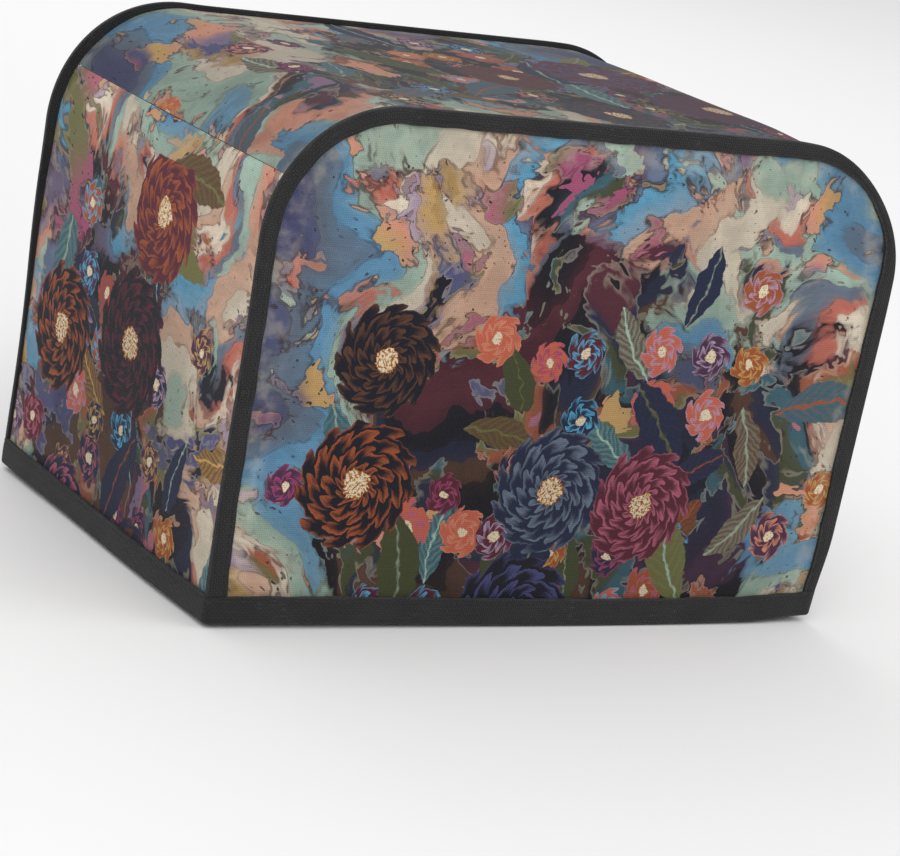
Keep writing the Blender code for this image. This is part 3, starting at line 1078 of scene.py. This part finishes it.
        weave = nodes.group(self.effects.weave, Place=flat, Pitch=CLOTH_PITCH)
        # Painted shade of the weave: the print darker in the hollows between threads, lighter on their
        # crests.
        thread = nodes.span(weave["Shade"], 0.0, 1.0, 0.80, 1.07, is_smooth=False)
        # Painted light and shade: the panel's own levels make the print lighter or darker, and darker
        # towards its dusky part.
        thread = nodes.math("MULTIPLY", thread, nodes.span(dusk, 0.25, 0.85, self.clear_panel_light, self.dusk_tone_and_panel_shade))
        colour = nodes.tone(colour, thread)
        dust = nodes.group(self.effects.dust, Place=flat, Edge=nodes.edge_near())
        colour = nodes.mix(nodes.math("MULTIPLY", dust["Rubbed"], 0.16), colour, CREAM)
        return nodes.give(
            Base_Color=colour,
            Roughness=nodes.span(weave["Shade"], 0.0, 1.0, 0.92, 0.82),
            Normal=nodes.raised(weave["Height"], *CLOTH_RELIEF),
            Sheen_Weight=0.06,
            Sheen_Roughness=0.5,
            Specular_IOR_Level=0.25,
        )


@dataclass(frozen=True)
class UnprintedBack:
    """The pale back of the printed cloth, with the print faintly showing through."""

    effects: Effects
    name: str = "unprinted_back"

    def build(self) -> Material:
        """Make the material."""
        nodes = Surface(self.name)
        flat = nodes.flat_place()
        through = nodes.ramp(nodes.noise(nodes.warp(flat, 20.0, 0.05), 16.0, 2.0),
                             [SKY, MINT, CREAM, PEACH, ROSE, SLATE], is_stepped=False)
        colour = nodes.mix(0.16, paint(214, 209, 200), through)
        weave = nodes.group(self.effects.weave, Place=flat, Pitch=CLOTH_PITCH)
        # Painted shade of the weave: darker in the hollows between threads, lighter on their crests.
        thread = nodes.span(weave["Shade"], 0.0, 1.0, 0.84, 1.0, is_smooth=False)
        colour = nodes.tone(colour, thread)
        return nodes.give(
            Base_Color=colour,
            Roughness=0.9,
            Normal=nodes.raised(weave["Height"], *CLOTH_RELIEF),
            Specular_IOR_Level=0.2,
        )


@dataclass(frozen=True)
class BindingTape:
    """Matte charcoal tape with a fine square weave."""

    effects: Effects
    name: str = "charcoal_tape"
    colour: Colour = paint(29, 29, 30)
    # Colour of the weave's crests: a painted highlight over the tape's colour, which stays in the hollows.
    rib: Colour = paint(42, 42, 43)

    def build(self) -> Material:
        """Make the material."""
        nodes = Surface(self.name)
        flat = nodes.flat_place()
        weave = nodes.group(self.effects.weave, Place=flat, Pitch=TAPE_PITCH, Uneven=0.25)
        # Painted shade and highlight of the weave: the tape's colour in the hollows between threads, the
        # lighter rib colour on their crests.
        shade = nodes.span(weave["Shade"], 0.35, 1.0)
        colour = nodes.mix(shade, self.colour, self.rib)
        patches = nodes.span(nodes.noise(flat, 45.0, 2.0), 0.3, 0.7, 0.86, 1.12)
        colour = nodes.tone(colour, patches)
        dust = nodes.group(self.effects.dust, Place=flat, Edge=nodes.edge_near())
        colour = nodes.mix(nodes.math("MULTIPLY", dust["Rubbed"], 0.10), colour, paint(96, 94, 92))
        colour = nodes.mix(nodes.math("MULTIPLY", dust["Lint"], 0.08), colour, paint(120, 118, 116))
        return nodes.give(
            Base_Color=colour,
            Roughness=nodes.span(weave["Shade"], 0.0, 1.0, 0.90, 0.74),
            Normal=nodes.raised(weave["Height"], *TAPE_RELIEF),
            Sheen_Weight=0.08,
            Sheen_Roughness=0.45,
            Specular_IOR_Level=0.3,
        )


@dataclass(frozen=True)
class Thread:
    """Twisted sewing thread, a little smoother than the tape."""

    name: str = "charcoal_thread"
    colour: Colour = paint(32, 32, 34)

    def build(self) -> Material:
        """Make the material."""
        nodes = Surface(self.name)
        run, around, _ = nodes.split(nodes.flat_place())
        # Painted shade and highlight of the twist: stripes round the thread, darker in the grooves between
        # the plies and lighter on their crowns.
        twist = nodes.math("SINE", nodes.math("MULTIPLY_ADD", run, 14000.0, around))
        shade = nodes.span(twist, -1.0, 1.0, 0.7, 1.35)
        colour = nodes.tone(self.colour, shade)
        return nodes.give(Base_Color=colour, Roughness=0.6)


@dataclass
class FacePanel:
    """The front or back panel: a flat hem, straight sides and two rounded top corners."""

    shape: CoverShape
    node: str
    face: int
    creases: tuple[Crease, ...]
    tape_cover: float = 0.0095
    ease: float = 0.016
    pucker: float = 0.00016
    pucker_pitch: float = 0.019
    piece: Piece | None = field(default=None, init=False)

    def relief(self, x: float, z: float, edge: float) -> float:
        """How far the cloth stands out at a place, level where the tapes cover it.

        Args:
            x: Across the panel.
            z: Height above the hem.
            edge: Distance from the panel's sides and top.

        Returns:
            The distance outward.
        """
        seen = smooth((edge - self.tape_cover) / self.ease) * smooth((z - HEM_COVER) / self.ease)
        height = sum(crease.lift(x, z) for crease in self.creases)
        past_tape = edge - self.tape_cover
        near_tape = smooth(past_tape / 0.004) * smooth(1 - past_tape / 0.016)
        wave = math.sin(2 * math.pi * (x + 1.3 * z) / self.pucker_pitch + 2.1 * math.sin(31 * x))
        return height * seen + self.pucker * wave * near_tape * smooth((z - HEM_COVER) / 0.01)

    def build(self) -> Piece:
        """Make the panel as a thin closed sheet.

        Returns:
            The panel.
        """
        shape = self.shape
        outer_y = shape.depth / 2 - shape.proud
        right = shape.side_stops(1, shape.cloth_bottom, CLOTH_SPACING, math.pi / 2)
        left = shape.side_stops(-1, shape.cloth_bottom, CLOTH_SPACING, math.pi / 2)
        room = shape.cloth_room + shape.gap
        count = round(shape.width / CLOTH_SPACING)
        sheet = SheetMesh()
        rows = []
        for left_stop, right_stop in zip(left, right):
            left_x, z = shape.outline_point(left_stop, shape.cloth_set(left_stop, self.face) + room)
            right_inset = shape.cloth_set(right_stop, self.face) + room
            right_x, right_z = shape.outline_point(right_stop, right_inset)
            outer, inner = [], []
            for k in range(count + 1):
                part = k / count
                x, height = left_x + (right_x - left_x) * part, z + (right_z - z) * part
                top_room = shape.height - shape.flat_set - room - height
                edge = min(x - left_x, right_x - x, top_room)
                near = smooth(1 - (edge - self.tape_cover) / 0.006)
                lift = self.relief(x, height, edge)
                flat = (x * -self.face, height, 0.0)
                out_y = self.face * (outer_y + lift)
                in_y = self.face * (outer_y + lift - CLOTH_THICKNESS)
                outer.append(sheet.add_point(shape.settle((x, out_y, height)), flat, near))
                inner.append(sheet.add_point(shape.settle((x, in_y, height)), flat))
            rows.append((outer, inner))
        sheet.add_cloth(rows)
        self.piece = sheet.make(f"{self.node}_cloth")
        return self.piece

    def dress(self, cloth: PrintedCloth, back: Material) -> None:
        self.piece.data.materials.append(cloth.build())
        self.piece.data.materials.append(back)
        place_piece(self.piece, "printed_cloth", self.node)


@dataclass
class GussetPanel:
    """Cloth between the front and back panels, along a run of the outline."""

    shape: CoverShape
    node: str
    stops: list[Stop]
    creases: tuple[Crease, ...]
    flat_of: Callable[[float, float], Flat]
    rests_on: tuple[str, ...]
    held: str = "hung"
    tape_cover: float = 0.0036
    ease: float = 0.014
    seam_dip: float = 0.00055
    seam_reach: float = 0.0030
    pucker: float = 0.00014
    pucker_pitch: float = 0.017
    piece: Piece | None = field(default=None, init=False)

    def relief(self, run: float, y: float, edge: float, height: float) -> float:
        """How far the cloth stands out at a place.

        Args:
            run: Distance along the outline from the left hem.
            y: Across the panel, from front to back.
            edge: Distance from the front or back edge.
            height: Height above the hem.

        Returns:
            The distance outward.
        """
        seams = [self.shape.run_of(Stop(Run.CORNER, side, self.shape.seam_angle)) for side in (-1, 1)]
        from_seam = min(abs(run - seam) for seam in seams)
        clear = smooth((edge - self.tape_cover) / self.ease) * smooth((height - HEM_COVER) / self.ease)
        across, up = self.flat_of(run, y)
        lift = sum(crease.lift(across, up) for crease in self.creases)
        lift *= clear * smooth(from_seam / 0.010)
        past_tape = edge - self.tape_cover
        near_tape = smooth(past_tape / 0.003) * smooth(1 - past_tape / 0.014)
        wave = math.sin(2 * math.pi * run / self.pucker_pitch + 2.4 * math.sin(43 * run))
        near_tape *= smooth((height - HEM_COVER) / 0.01) * smooth(from_seam / 0.006)
        lift += self.pucker * wave * near_tape
        dip = self.seam_dip * smooth((edge - 0.003) / 0.004) * (1 - smooth(from_seam / self.seam_reach))
        return lift - dip

    def build(self) -> Piece:
        """Make the panel as a thin closed sheet.

        Returns:
            The panel.
        """
        shape = self.shape
        half_depth = shape.depth / 2 - shape.proud - shape.edge_set
        sheet = SheetMesh()
        rows = []
        for stop in self.stops:
            run = shape.run_of(stop)
            outer, inner = [], []
            for y in spread(-half_depth, half_depth, CLOTH_SPACING):
                inset = shape.cloth_set(stop, y / half_depth)
                height = shape.outline_point(stop, inset)[1]
                edge = half_depth - abs(y)
                lift = self.relief(run, y, edge, height)
                near = smooth(1 - (edge - self.tape_cover) / 0.006)
                out_x, out_z = shape.outline_point(stop, inset - lift)
                in_x, in_z = shape.outline_point(stop, inset - lift + CLOTH_THICKNESS)
                flat = (*self.flat_of(run, y), 0.0)
                outer.append(sheet.add_point(shape.settle((out_x, y, out_z)), flat, near))
                inner.append(sheet.add_point(shape.settle((in_x, y, in_z)), flat))
            rows.append((outer, inner))
        sheet.add_cloth(rows)
        self.piece = sheet.make(f"{self.node}_cloth")
        return self.piece

    def dress(self, cloth: PrintedCloth, back: Material) -> None:
        self.piece.data.materials.append(cloth.build())
        self.piece.data.materials.append(back)
        place_piece(self.piece, "printed_cloth", self.node)
        length = abs(self.shape.run_of(self.stops[-1]) - self.shape.run_of(self.stops[0]))


class TapeSection:
    """Cross sections of folded tape, as rings of inset and depth, or inset and height."""

    @staticmethod
    def arc(centre: Flat, radius: float, start: float, end: float, steps: int = 5) -> list[Flat]:
        """Points on an arc, angles in degrees.

        Args:
            centre: The arc's centre.
            radius: Its radius.
            start: Its first angle.
            end: Its last angle.
            steps: Number of straight steps.

        Returns:
            The points, both ends included.
        """
        angles = [math.radians(start + (end - start) * k / steps) for k in range(steps + 1)]
        return [(centre[0] + radius * math.cos(a), centre[1] + radius * math.sin(a)) for a in angles]

    @classmethod
    def seam(cls, shape: CoverShape, width: float, lap: float, side_ply: float) -> list[Flat]:
        """Angle section of a seam binding: inset from the outline, depth from the face.

        Args:
            shape: The cover's shape.
            width: How far the tape lies on the face.
            lap: How far it lies on the cloth behind.
            side_ply: Thickness of the fin.

        Returns:
            The ring of points.
        """
        fold = 0.0011
        lip = 0.0005
        stitch = width - SEAM_STITCHES[0]
        tape = shape.tape
        return [
            *cls.arc((width - lip, lip), lip, 0, -90),
            (width - 0.0011, 0.00008),
            (stitch, SEAM_STITCHES[1]),
            (stitch - 0.0006, 0.00012),
            ((stitch + fold) / 2 + 0.0008, -0.00002),
            ((stitch + fold) / 2 - 0.0006, -0.00004),
            (fold + 0.0006, 0.0),
            *cls.arc((fold, fold), fold, -90, -180),
            (0.0, (fold + lap) / 2),
            *cls.arc((lip, lap - lip), lip, 180, 90, 3),
            (side_ply, lap),
            (side_ply, (lap + tape) / 2),
            (side_ply, tape),
            ((side_ply + width) / 2, tape),
            (width - 0.0009, tape),
            (width - 0.0002, tape + 0.00014),
        ]

    @classmethod
    def hem(cls, tall: float, inner_tall: float, outer_ply: float, inner_face: float, inner_ply: float,
            floor: float) -> list[Flat]:
        """Folded channel of the hem binding: inset from its outer face, and height.

        Args:
            tall: Height of the outer ply.
            inner_tall: Height of the inner ply.
            outer_ply: Thickness of the outer ply.
            inner_face: Inset of the face of the inner ply that touches the cloth.
            inner_ply: Thickness of the inner ply.
            floor: Thickness of the fold.

        Returns:
            The ring of points.
        """
        inside = inner_face + inner_ply
        fold = 0.0013
        lip = 0.0006
        return [
            *cls.arc((fold, fold), fold, -90, -180),
            (-0.00006, 0.0042),
            (-0.00008, 0.0065),
            (0.0, tall - 0.0026),
            (HEM_STITCHES[1], tall - HEM_STITCHES[0]),
            (0.00006, tall - 0.0010),
            *cls.arc((lip, tall - lip), lip, 180, 90, 4),
            (outer_ply - 0.0004, tall - 0.0001),
            (outer_ply, tall - 0.0004),
            (outer_ply, (tall + floor) / 2),
            (outer_ply, floor),
            (inner_face, floor),
            (inner_face, inner_tall - 0.0005),
            *cls.arc((inner_face + 0.0006, inner_tall - 0.0006), 0.0006, 180, 0, 5),
            (inside, inner_tall - 0.0016),
            (inside, inner_tall / 2),
            *cls.arc((inside - fold, fold), fold, 0, -90),
        ]


@dataclass
class SeamBinding:
    """Tape folded over the seam round the front or back panel, from hem to hem."""

    shape: CoverShape
    node: str
    face: int
    spacing: float = 0.0013
    waver: float = 0.00016
    piece: Piece | None = field(default=None, init=False)

    def sizes_at(self, stop: Stop) -> tuple[float, float, float]:
        """Width, lap and fin thickness of the tape at a stop."""
        column = 1 if self.face < 0 else 3
        run = self.shape.run_of(stop)
        drift = self.waver * (math.sin(run * 210) + 0.6 * math.sin(run * 467 + 1.3))
        width = self.shape.read(self.shape.bindings, stop, column) + drift
        lap = self.shape.read(self.shape.bindings, stop, column + 1) - 0.4 * drift
        return width, lap, self.shape.cloth_set(stop, self.face) - self.shape.gap

    def point(self, stop: Stop, inset: float, depth: float) -> Point:
        """A point of the tape in the frame of the solids.

        Args:
            stop: The place along the outline.
            inset: Distance inward from the outline.
            depth: Distance behind the tape's face.

        Returns:
            The point.
        """
        x, z = self.shape.outline_point(stop, inset)
        return self.shape.settle((x, self.face * (self.shape.depth / 2 - depth), z))

    def build(self) -> Piece:
        """Make the tape.

        Returns:
            The tape.
        """
        sheet = SheetMesh()
        rings = []
        for stop in self.shape.whole_outline(self.shape.binding_bottom, self.spacing):
            run = self.shape.run_of(stop)
            width, lap, ply = self.sizes_at(stop)
            section = TapeSection.seam(self.shape, width, lap, ply)
            ring, across = [], 0.0
            for k, (inset, depth) in enumerate(section):
                across += math.dist(section[k], section[k - 1]) if k else 0.0
                at_edge = smooth(1 - abs(across - 0.0006) / 0.0012)
                at_fold = smooth(1 - math.dist((inset, depth), (0.0, 0.0)) / 0.0016)
                flat = (run, across, 0.0)
                ring.append(sheet.add_point(self.point(stop, inset, depth), flat, max(at_edge, at_fold)))
            rings.append(ring)
        sheet.add_tube(rings)
        self.piece = sheet.make(f"{self.node}_tape")
        return self.piece

    def dress(self, tape: Material, stitches: Piece) -> None:
        self.piece.data.materials.append(tape)
        place_piece(self.piece, "binding_tape", self.node)


@dataclass
class HemBinding:
    """Wider tape folded over the bottom edge, all round."""

    shape: CoverShape
    node: str = "hem_binding"
    tall: float = 0.0115
    inner_tall: float = 0.0095
    outer_ply: float = 0.0020
    inner_ply: float = 0.0014
    floor: float = 0.0014
    corner: float = 0.0032
    slack: float = 0.0004
    spacing: float = 0.0014
    piece: Piece | None = field(default=None, init=False)

    @property
    def half_sizes(self) -> Flat:
        """Half the width and half the depth over the tape."""
        out = self.shape.gap + self.outer_ply - self.shape.proud
        return self.shape.width / 2 + out, self.shape.depth / 2 + out

    def path(self) -> list[tuple[Flat, Flat]]:
        """Places round the hem's outer face, each with its outward direction.

        Returns:
            Pairs of a place and a direction, against the clock seen from above.
        """
        half_x, half_y = self.half_sizes
        centre_x, centre_y = half_x - self.corner, half_y - self.corner
        xs = spread(-centre_x, centre_x, self.spacing)[1:-1]
        ys = spread(-centre_y, centre_y, self.spacing)[1:-1]
        runs = (
            (1, -1, -90, [((half_x, y), (1.0, 0.0)) for y in ys]),
            (1, 1, 0, [((x, half_y), (0.0, 1.0)) for x in xs[::-1]]),
            (-1, 1, 90, [((-half_x, y), (-1.0, 0.0)) for y in ys[::-1]]),
            (-1, -1, 180, [((x, -half_y), (0.0, -1.0)) for x in xs]),
        )
        path = []
        for side, face, start, straight in runs:
            for angle in (math.radians(start + 90 * k / 6) for k in range(7)):
                out = (math.cos(angle), math.sin(angle))
                place = (side * centre_x + self.corner * out[0], face * centre_y + self.corner * out[1])
                path.append((place, out))
            path += straight
        return path

    def point(self, place: Flat, out: Flat, inset: float, height: float) -> Point:
        """A point of the tape in the frame of the solids, inset from its outer face."""
        half_x, half_y = self.half_sizes
        inset_x, inset_y = inset * out[0], inset * out[1]
        x, y = place[0] - inset_x, place[1] - inset_y
        if inset > self.corner - 0.0004 and out[0] and out[1]:
            x = math.copysign(half_x - inset, place[0])
            y = math.copysign(half_y - inset, place[1])
        return self.shape.settle((x, y, height))

    def build(self) -> Piece:
        """Make the tape.

        Returns:
            The tape.
        """
        inner_face = self.outer_ply + self.shape.gap + self.shape.cloth_room + self.slack
        sheet = SheetMesh()
        rings, run, last = [], 0.0, None
        for place, out in self.path():
            run += math.dist(place, last) if last else 0.0
            last = place
            waver = 0.00018 * (math.sin(run * 173) + 0.7 * math.sin(run * 391 + 0.8))
            section = TapeSection.hem(self.tall + waver, self.inner_tall, self.outer_ply, inner_face,
                                      self.inner_ply, self.floor)
            ring, across = [], 0.0
            for k, (inset, height) in enumerate(section):
                across += math.dist(section[k], section[k - 1]) if k else 0.0
                at_top = smooth(1 - math.dist((inset, height), (0.0, self.tall)) / 0.0014)
                at_fold = smooth(1 - math.dist((inset, height), (0.0, 0.0)) / 0.0016)
                ring.append(sheet.add_point(self.point(place, out, inset, height), (run, across, 0.0),
                                            max(at_top, at_fold)))
            rings.append(ring)
        for first, second in zip(rings, rings[1:] + rings[:1]):
            sheet.add_strip(first, second, 0, True)
        self.piece = sheet.make(f"{self.node}_tape")
        return self.piece

    def dress(self, tape: Material, stitches: Piece) -> None:
        self.piece.data.materials.append(tape)
        place_piece(self.piece, "binding_tape", self.node)


@dataclass
class Stitching:
    """A row of stitches along a tape, each a short arch of thread whose ends dip into it."""

    name: str
    stitch: float = 0.0027
    step: float = 0.0033
    thread_radius: float = 0.00019
    rise: float = 0.00016
    sides: int = 6
    pieces_per_stitch: int = 5

    def build(self, length: float, place_at: Callable[[float], tuple[Vector, Vector]]) -> Piece:
        """Make the row.

        Args:
            length: Length of the row.
            place_at: Gives the tape's surface point and its outward direction at a distance.

        Returns:
            The row of stitches as one object.
        """
        sheet = SheetMesh()
        count = int((length - self.stitch) / self.step)
        for number in range(count):
            start = self.step * (number + 0.35) + 0.0002 * math.sin(number * 2.4)
            rings = []
            for k in range(self.pieces_per_stitch + 1):
                part = k / self.pieces_per_stitch
                run = start + self.stitch * part
                place, out = place_at(run)
                ahead, _ = place_at(run + 0.0004)
                along = (ahead - place).normalized()
                beside = along.cross(out).normalized()
                arch = math.sin(math.pi * part)
                lift = self.rise * arch - self.thread_radius * (0.9 - arch)
                centre = place + out * lift
                ring = []
                for corner in range(self.sides):
                    angle = 2 * math.pi * corner / self.sides
                    offset = beside * math.cos(angle) + out * math.sin(angle)
                    point = centre + offset * self.thread_radius
                    ring.append(sheet.add_point(tuple(point), (run, angle, 0.0)))
                rings.append(ring)
            sheet.add_tube(rings)
        return sheet.make(self.name)


@dataclass
class Sewing:
    """The rows of stitches that hold the tapes."""

    shape: CoverShape
    thread: Material

    def finish(self, row: Piece) -> Piece:
        """Give a row its thread and let it ride."""
        row.data.materials.append(self.thread)
        place_piece(row, "binding_tape")
        return row

    def sew_seam(self, tape: SeamBinding) -> Piece:
        """Sew along a seam binding, beside its inner edge.

        Args:
            tape: The binding, already built.

        Returns:
            The row of stitches.
        """
        stops = self.shape.whole_outline(self.shape.binding_bottom, tape.spacing)
        runs = [self.shape.run_of(stop) for stop in stops]
        places = []
        for stop in stops:
            width = tape.sizes_at(stop)[0]
            places.append(Vector(tape.point(stop, width - SEAM_STITCHES[0], SEAM_STITCHES[1])))

        def place_at(distance: float) -> tuple[Vector, Vector]:
            """The tape's surface at a distance from its left end."""
            share = distance / (runs[-1] - runs[0]) * (len(stops) - 1)
            index = min(len(stops) - 2, max(0, int(share)))
            point = places[index].lerp(places[index + 1], share - index)
            return point, Vector((0.0, float(tape.face), 0.0))

        row = Stitching(f"{tape.node}_stitches").build(runs[-1] - runs[0] - 0.004, place_at)
        return self.finish(row)

    def sew_hem(self, tape: HemBinding) -> Piece:
        """Sew round the hem binding, below its top edge.

        Args:
            tape: The binding, already built.

        Returns:
            The row of stitches.
        """
        height, inset = tape.tall - HEM_STITCHES[0], HEM_STITCHES[1]
        path = tape.path()
        path.append(path[0])
        places, outs, runs = [], [], [0.0]
        for place, out in path:
            places.append(Vector(tape.point(place, out, inset, height)))
            outs.append(Vector((*out, 0.0)))
        for first, second in zip(places, places[1:]):
            runs.append(runs[-1] + (second - first).length)

        def place_at(distance: float) -> tuple[Vector, Vector]:
            """The tape's surface at a distance round the hem."""
            low, high = 0, len(runs) - 1
            while high - low > 1:
                middle = (low + high) // 2
                if runs[middle] <= distance:
                    low = middle
                else:
                    high = middle
            share = (distance - runs[low]) / max(runs[high] - runs[low], 1e-9)
            return places[low].lerp(places[high], share), outs[low].lerp(outs[high], share).normalized()

        row = Stitching("hem_binding_stitches").build(runs[-1], place_at)
        return self.finish(row)


@dataclass
class Studio:
    """A plain pale floor, soft lights and the camera at the photograph's angle."""

    floor_height: float
    lens: float = 127.51
    camera_place: Point = (-0.7135, -1.1304, 0.1907)
    camera_rows: tuple[Point, Point, Point] = (
        (0.85232, -0.02302, -0.52251),
        (-0.49188, 0.30428, -0.81576),
        (0.17777, 0.95230, 0.24802),
    )
    floor_size: float = 12.0
    light_aim: Point = (0.0, 0.0, -0.1)
    # Name, place, length of the sides, watts
    lights: tuple[tuple[str, Point, float, float], ...] = (
        ("key_light", (-1.1, -1.7, 1.3), 1.3, 16.0),
        ("fill_light", (1.8, -1.0, 0.9), 1.5, 9.0),
        ("back_light", (0.4, 1.9, 1.4), 1.5, 9.0),
    )

    def add_light(self, name: str, place: Point, size: float, power: float) -> None:
        """Add a square soft light that faces the cover.

        Args:
            name: Its name.
            place: Where it hangs.
            size: Length of its sides.
            power: Its power in watts.
        """
        data = bpy.data.lights.new(name, "AREA")
        data.size = size
        data.energy = power
        light = bpy.data.objects.new(name, data)
        light.location = place
        toward = Vector(self.light_aim) - Vector(place)
        light.rotation_euler = toward.to_track_quat("-Z", "Y").to_euler()
        bpy.context.scene.collection.objects.link(light)

    def build(self) -> None:
        """Make the floor, the lights, the surroundings and the camera."""
        scene = bpy.context.scene
        half = self.floor_size / 2
        mesh = bpy.data.meshes.new("studio_floor")
        corners = [(-half, -half), (half, -half), (half, half), (-half, half)]
        mesh.from_pydata([(x, y, self.floor_height) for x, y in corners], [], [(0, 1, 2, 3)])
        floor = bpy.data.objects.new("studio_floor", mesh)
        scene.collection.objects.link(floor)
        pale = bpy.data.materials.new("pale_floor")
        pale.use_nodes = True
        shader = pale.node_tree.nodes["Principled BSDF"]
        shader.inputs["Base Color"].default_value = (0.90, 0.90, 0.90, 1)
        shader.inputs["Roughness"].default_value = 0.9
        shader.inputs["Specular IOR Level"].default_value = 0.1
        mesh.materials.append(pale)
        floor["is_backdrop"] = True

        world = bpy.data.worlds.new("studio")
        world.use_nodes = True
        background = world.node_tree.nodes["Background"]
        background.inputs["Color"].default_value = (1.0, 1.0, 1.0, 1)
        background.inputs["Strength"].default_value = 0.78
        scene.world = world
        scene.view_settings.view_transform = "Standard"

        for name, place, size, power in self.lights:
            self.add_light(name, place, size, power)

        data = bpy.data.cameras.new("camera")
        data.lens = self.lens
        data.sensor_width = 36.0
        data.clip_start = 0.05
        data.clip_end = 50.0
        camera = bpy.data.objects.new("camera", data)
        scene.collection.objects.link(camera)
        rows = [[*row, place] for row, place in zip(self.camera_rows, self.camera_place)]
        camera.matrix_world = Matrix([*rows, [0, 0, 0, 1]])
        scene.camera = camera


@dataclass
class FittedCover:
    """The whole cover: five panels, three tapes and their stitches."""

    shape: CoverShape
    effects: Effects

    def panels(self) -> list[tuple[FacePanel | GussetPanel, PrintedCloth]]:
        """The five panels, each with its print.

        Returns:
            Pairs of a panel and its cloth.
        """
        shape = self.shape
        seam = shape.seam_angle - shape.half_seam
        top_seam = shape.seam_angle + shape.half_seam
        half = shape.outline_length / 2
        up_dusk = DuskLayout((0.005, 0.028), (0.118, 0.118))
        side_dusk = DuskLayout((-0.005, 0.026), (0.080, 0.112))
        front = FacePanel(shape, "front_panel", -1, (
            Crease((-0.110, 0.165), (-0.060, 0.105), 0.020, 0.0007),
            Crease((0.118, 0.160), (0.070, 0.110), 0.022, -0.0006),
            Crease((-0.070, 0.030), (-0.055, 0.090), 0.016, -0.0005),
            Crease((0.040, 0.020), (0.052, 0.075), 0.018, 0.0005),
            Crease((-0.020, 0.150), (0.045, 0.140), 0.024, -0.0005),
        ))
        back = FacePanel(shape, "back_panel", 1, (
            Crease((0.105, 0.160), (0.055, 0.115), 0.022, 0.0006),
            Crease((-0.112, 0.168), (-0.075, 0.100), 0.020, -0.0006),
            Crease((0.030, 0.025), (0.020, 0.080), 0.018, -0.0005),
            Crease((-0.060, 0.020), (-0.050, 0.070), 0.016, 0.0005),
        ))
        top = GussetPanel(shape, "top_panel", shape.over_top(top_seam, CLOTH_SPACING), (
            Crease((-0.080, -0.060), (-0.020, 0.050), 0.022, -0.0005),
            Crease((0.030, -0.050), (0.080, 0.030), 0.020, 0.0005),
            Crease((-0.120, 0.030), (-0.095, -0.050), 0.016, 0.0005),
            Crease((0.118, 0.060), (0.108, -0.040), 0.016, -0.0004),
        ), lambda run, y: (run - half, y), ("front_binding_tape", "back_binding_tape"), "stretched")
        left_stops = shape.side_stops(-1, shape.cloth_bottom, CLOTH_SPACING, seam)
        left = GussetPanel(shape, "left_side_panel", left_stops, (
            Crease((0.050, 0.130), (0.020, 0.070), 0.020, 0.0006),
            Crease((-0.060, 0.135), (-0.030, 0.060), 0.020, -0.0006),
            Crease((0.010, 0.020), (0.000, 0.065), 0.016, -0.0005),
        ), lambda run, y: (-y, run), ("top_panel_cloth",))
        right_stops = shape.side_stops(1, shape.cloth_bottom, CLOTH_SPACING, seam)
        right = GussetPanel(shape, "right_side_panel", right_stops, (
            Crease((-0.050, 0.130), (-0.015, 0.075), 0.020, 0.0006),
            Crease((0.060, 0.140), (0.040, 0.060), 0.020, -0.0005),
            Crease((0.000, 0.020), (0.008, 0.070), 0.016, -0.0005),
        ), lambda run, y: (y, 2 * half - run), ("top_panel_cloth",))
        top_dusk = DuskLayout((0.060, -0.010), (0.165, 0.085))
        # The last two numbers of a print are its painted light and shade levels: the top darker, the sides
        # lighter than the front and back.
        return [
            (front, PrintedCloth("front_print", (1.35, 0.62), up_dusk, self.effects)),
            (back, PrintedCloth("back_print", (4.10, 2.35), up_dusk, self.effects)),
            (top, PrintedCloth("top_print", (2.25, 5.15), top_dusk, self.effects, 0.84, 0.62)),
            (left, PrintedCloth("left_side_print", (6.40, 1.20), side_dusk, self.effects, 1.14, 0.78)),
            (right, PrintedCloth("right_side_print", (7.85, 3.40), side_dusk, self.effects, 1.14, 0.78)),
        ]

    def build(self) -> None:
        """Build and dress every piece."""
        back = UnprintedBack(self.effects).build()
        tape_finish = BindingTape(self.effects).build()
        sewing = Sewing(self.shape, Thread().build())
        pieces = []
        for panel, cloth in self.panels():
            pieces.append(panel.build())
            panel.dress(cloth, back)
        for node, face in (("front_binding", -1), ("back_binding", 1)):
            tape = SeamBinding(self.shape, node, face)
            pieces.append(tape.build())
            tape.dress(tape_finish, sewing.sew_seam(tape))
        hem = HemBinding(self.shape)
        pieces.append(hem.build())
        hem.dress(tape_finish, sewing.sew_hem(hem))
        for piece in pieces:
            log.info("%s: %d faces", piece.name, len(piece.data.polygons))


def main() -> None:
    """Load the solids, dress them and set up the studio."""
    logging.basicConfig(level=logging.INFO, format="%(message)s")
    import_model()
    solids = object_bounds()
    Studio(floor_height=solids[0].z - 0.0004).build()
    cover = FittedCover(CoverShape(), Effects())
    cover.build()


if __name__ == "__main__":
    main()
